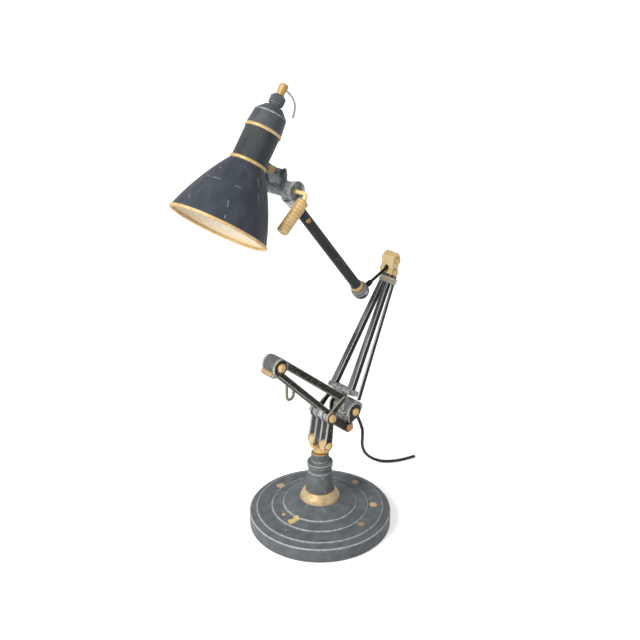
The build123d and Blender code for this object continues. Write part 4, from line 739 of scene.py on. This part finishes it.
# Black cotton, its crossing threads just lighter than the gaps
braid = braided_cotton("black_cotton_braid", "#0e0f10", "#2c2d2f", MAINS_LENGTH,
                       MAINS_DIAMETER * tau / 2, MAINS_THREAD)
mains = route_curve("mains_flex", MAINS_ROUTE)
mains.data.bevel_depth = MAINS_DIAMETER * MM / 2
mains.data.bevel_resolution = 6
mains.data.use_fill_caps = True
mains.data.materials.append(braid)
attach(mains, "swivel")
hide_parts("mains_cord")
Vector(MAINS_ROUTE[0]) * MM

# The switch's pull cord, three twisted strands
PULL_DIAMETER = 3
PULL_LAY = 7
STRANDS = 3
STRAND_RADII = 3.3       # how many of a strand's radii make the cord's diameter
PULL_ROUTE = (
    (-59.6, 5.15, 692.25), (-50.16, 5.32, 684.84), (-42.16, 5.38, 676.04),
    (-39.15, 5.15, 666.05), (-40.85, 4.76, 657.56), (-44.54, 4.33, 650.56),
)


def twisted_cord(name, route_mm, diameter_mm, lay_mm, material):
    """Twisted strands along a route, and the points of the line that they follow."""
    guide = route_curve(name + "_guide", route_mm)
    line = bpy.data.meshes.new_from_object(guide)
    path = [vertex.co.copy() for vertex in line.vertices]
    bpy.data.meshes.remove(line)
    bpy.data.objects.remove(guide)
    strand = diameter_mm * MM / STRAND_RADII
    orbit = diameter_mm * MM / 2 - strand
    level = Vector((0, 1, 0))
    curve = bpy.data.curves.new(name, "CURVE")
    curve.dimensions = "3D"
    curve.bevel_depth = strand
    curve.bevel_resolution = 3
    curve.use_fill_caps = True
    for number in range(STRANDS):
        spline = curve.splines.new("POLY")
        spline.points.add(len(path) - 1)
        gone = 0
        for index, point in enumerate(path):
            before = path[max(index - 1, 0)]
            ahead = path[min(index + 1, len(path) - 1)] - before
            across = ahead.cross(level).normalized()
            gone += (point - before).length
            angle = tau * (gone / (lay_mm * MM) + number / STRANDS)
            place = point + orbit * (cos(angle) * across + sin(angle) * level)
            spline.points[index].co = (*place, 1)
    bundle = bpy.data.objects.new(name, curve)
    mesh = bpy.data.meshes.new_from_object(bundle)
    bpy.data.objects.remove(bundle)
    mesh.materials.clear()
    mesh.materials.append(material)
    return put(name, mesh), path


# Pale twine, grey-beige in the lay of its strands
twine = dull("twisted_twine", "#efe9dd", "#fdf7ec", grain_mm=0.7, relief_mm=0.03)
pull, pull_path = twisted_cord("pull_twist", PULL_ROUTE, PULL_DIAMETER, PULL_LAY, twine)
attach(pull, "pull_cord")
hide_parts("pull_cord")
Vector(PULL_ROUTE[0]) * MM
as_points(pull_path)


# Camera, at the photograph's angle
CAMERA_AZIMUTH = radians(-43)
CAMERA_ELEVATION = radians(24.89)
CAMERA_DISTANCE = 1.5862
CAMERA_TARGET = Vector((0, 0, 0.348))
FOCAL_PIXELS = 1100
FRAME_PIXELS = 640
SENSOR = 36
back = Vector((
    cos(CAMERA_ELEVATION) * sin(CAMERA_AZIMUTH), -cos(CAMERA_ELEVATION) * cos(CAMERA_AZIMUTH),
    sin(CAMERA_ELEVATION),
))
camera = put("camera", bpy.data.cameras.new("camera"))
camera.data.sensor_width = SENSOR
camera.data.lens = SENSOR * FOCAL_PIXELS / FRAME_PIXELS
camera.location = CAMERA_TARGET + back * CAMERA_DISTANCE
camera.rotation_mode = "QUATERNION"
camera.rotation_quaternion = (-back).to_track_quat("-Z", "Y")
bpy.context.scene.camera = camera

# Stage: a white floor that keeps a faint shadow, soft lamps and an even surround, in metres
WHITE = 1, 1, 1, 1
FLOOR_GAP = 0.1 * MM
GLOW_NEAR, GLOW_FAR = 0.3, 1.5


def seen_share(tree):
    """1 for what the eye, a reflection or glass sees, and 0 for what lights the object."""
    path = add(tree, "ShaderNodeLightPath", out="Is Camera Ray")
    rays = path.node.outputs
    shiny = add(tree, "ShaderNodeMath", {0: rays["Is Glossy Ray"], 1: rays["Is Transmission Ray"]},
                operation="MAXIMUM")
    return add(tree, "ShaderNodeMath", {0: path, 1: shiny}, operation="MAXIMUM")


def lay_floor(half_width):
    """Floor of matt white paper, which glows to white away from the object and keeps its shadow."""
    material, tree, place = start_finish("white_paper")
    away = add(tree, "ShaderNodeVectorMath", {0: place}, "Value", operation="LENGTH")
    level = add(tree, "ShaderNodeMapRange", {
        "Value": away, "From Min": GLOW_NEAR, "From Max": GLOW_FAR, "To Min": 0.6, "To Max": 1.0,
    })
    glow = add(tree, "ShaderNodeMath", {0: seen_share(tree), 1: level}, operation="MULTIPLY")
    feed(tree, tree.nodes["Principled BSDF"], {
        "Base Color": linear("#f4f4f4"), "Roughness": 1.0, "Specular IOR Level": 0.0,
        "Emission Color": WHITE, "Emission Strength": glow,
    })
    shape = bmesh.new()
    bmesh.ops.create_grid(shape, x_segments=1, y_segments=1, size=half_width)
    mesh = bpy.data.meshes.new("floor")
    shape.to_mesh(mesh)
    shape.free()
    mesh.materials.append(material)
    floor = put("floor", mesh)
    floor.location.z = -FLOOR_GAP


def hang_lamp(name, place, size, power, colour):
    """Square soft box aimed at the middle of the object."""
    light = bpy.data.lights.new(name, "AREA")
    light.size = size
    light.energy = power
    light.color = colour
    lamp = put(name, light)
    lamp.location = place
    lamp.rotation_mode = "QUATERNION"
    lamp.rotation_quaternion = (CAMERA_TARGET - Vector(place)).to_track_quat("-Z", "Y")


def set_surround(level):
    """Even surround: white to the eye and in reflections, and a soft light on the object."""
    world = bpy.data.worlds.new("surround")
    world.use_nodes = True
    tree = world.node_tree
    strength = add(tree, "ShaderNodeMapRange",
                   {"Value": seen_share(tree), "To Min": level, "To Max": 1.0})
    feed(tree, tree.nodes["Background"], {"Color": WHITE, "Strength": strength})
    bpy.context.scene.world = world


lay_floor(half_width=30)
set_surround(level=0.22)
hang_lamp("key", place=(-2.6, -0.2, 2.3), size=1.4, power=115, colour=(1, 0.98, 0.94))
hang_lamp("fill", place=(1.2, -2.6, 1.2), size=2.0, power=7, colour=(0.82, 0.92, 1))
bpy.context.scene.view_settings.view_transform = "Standard"
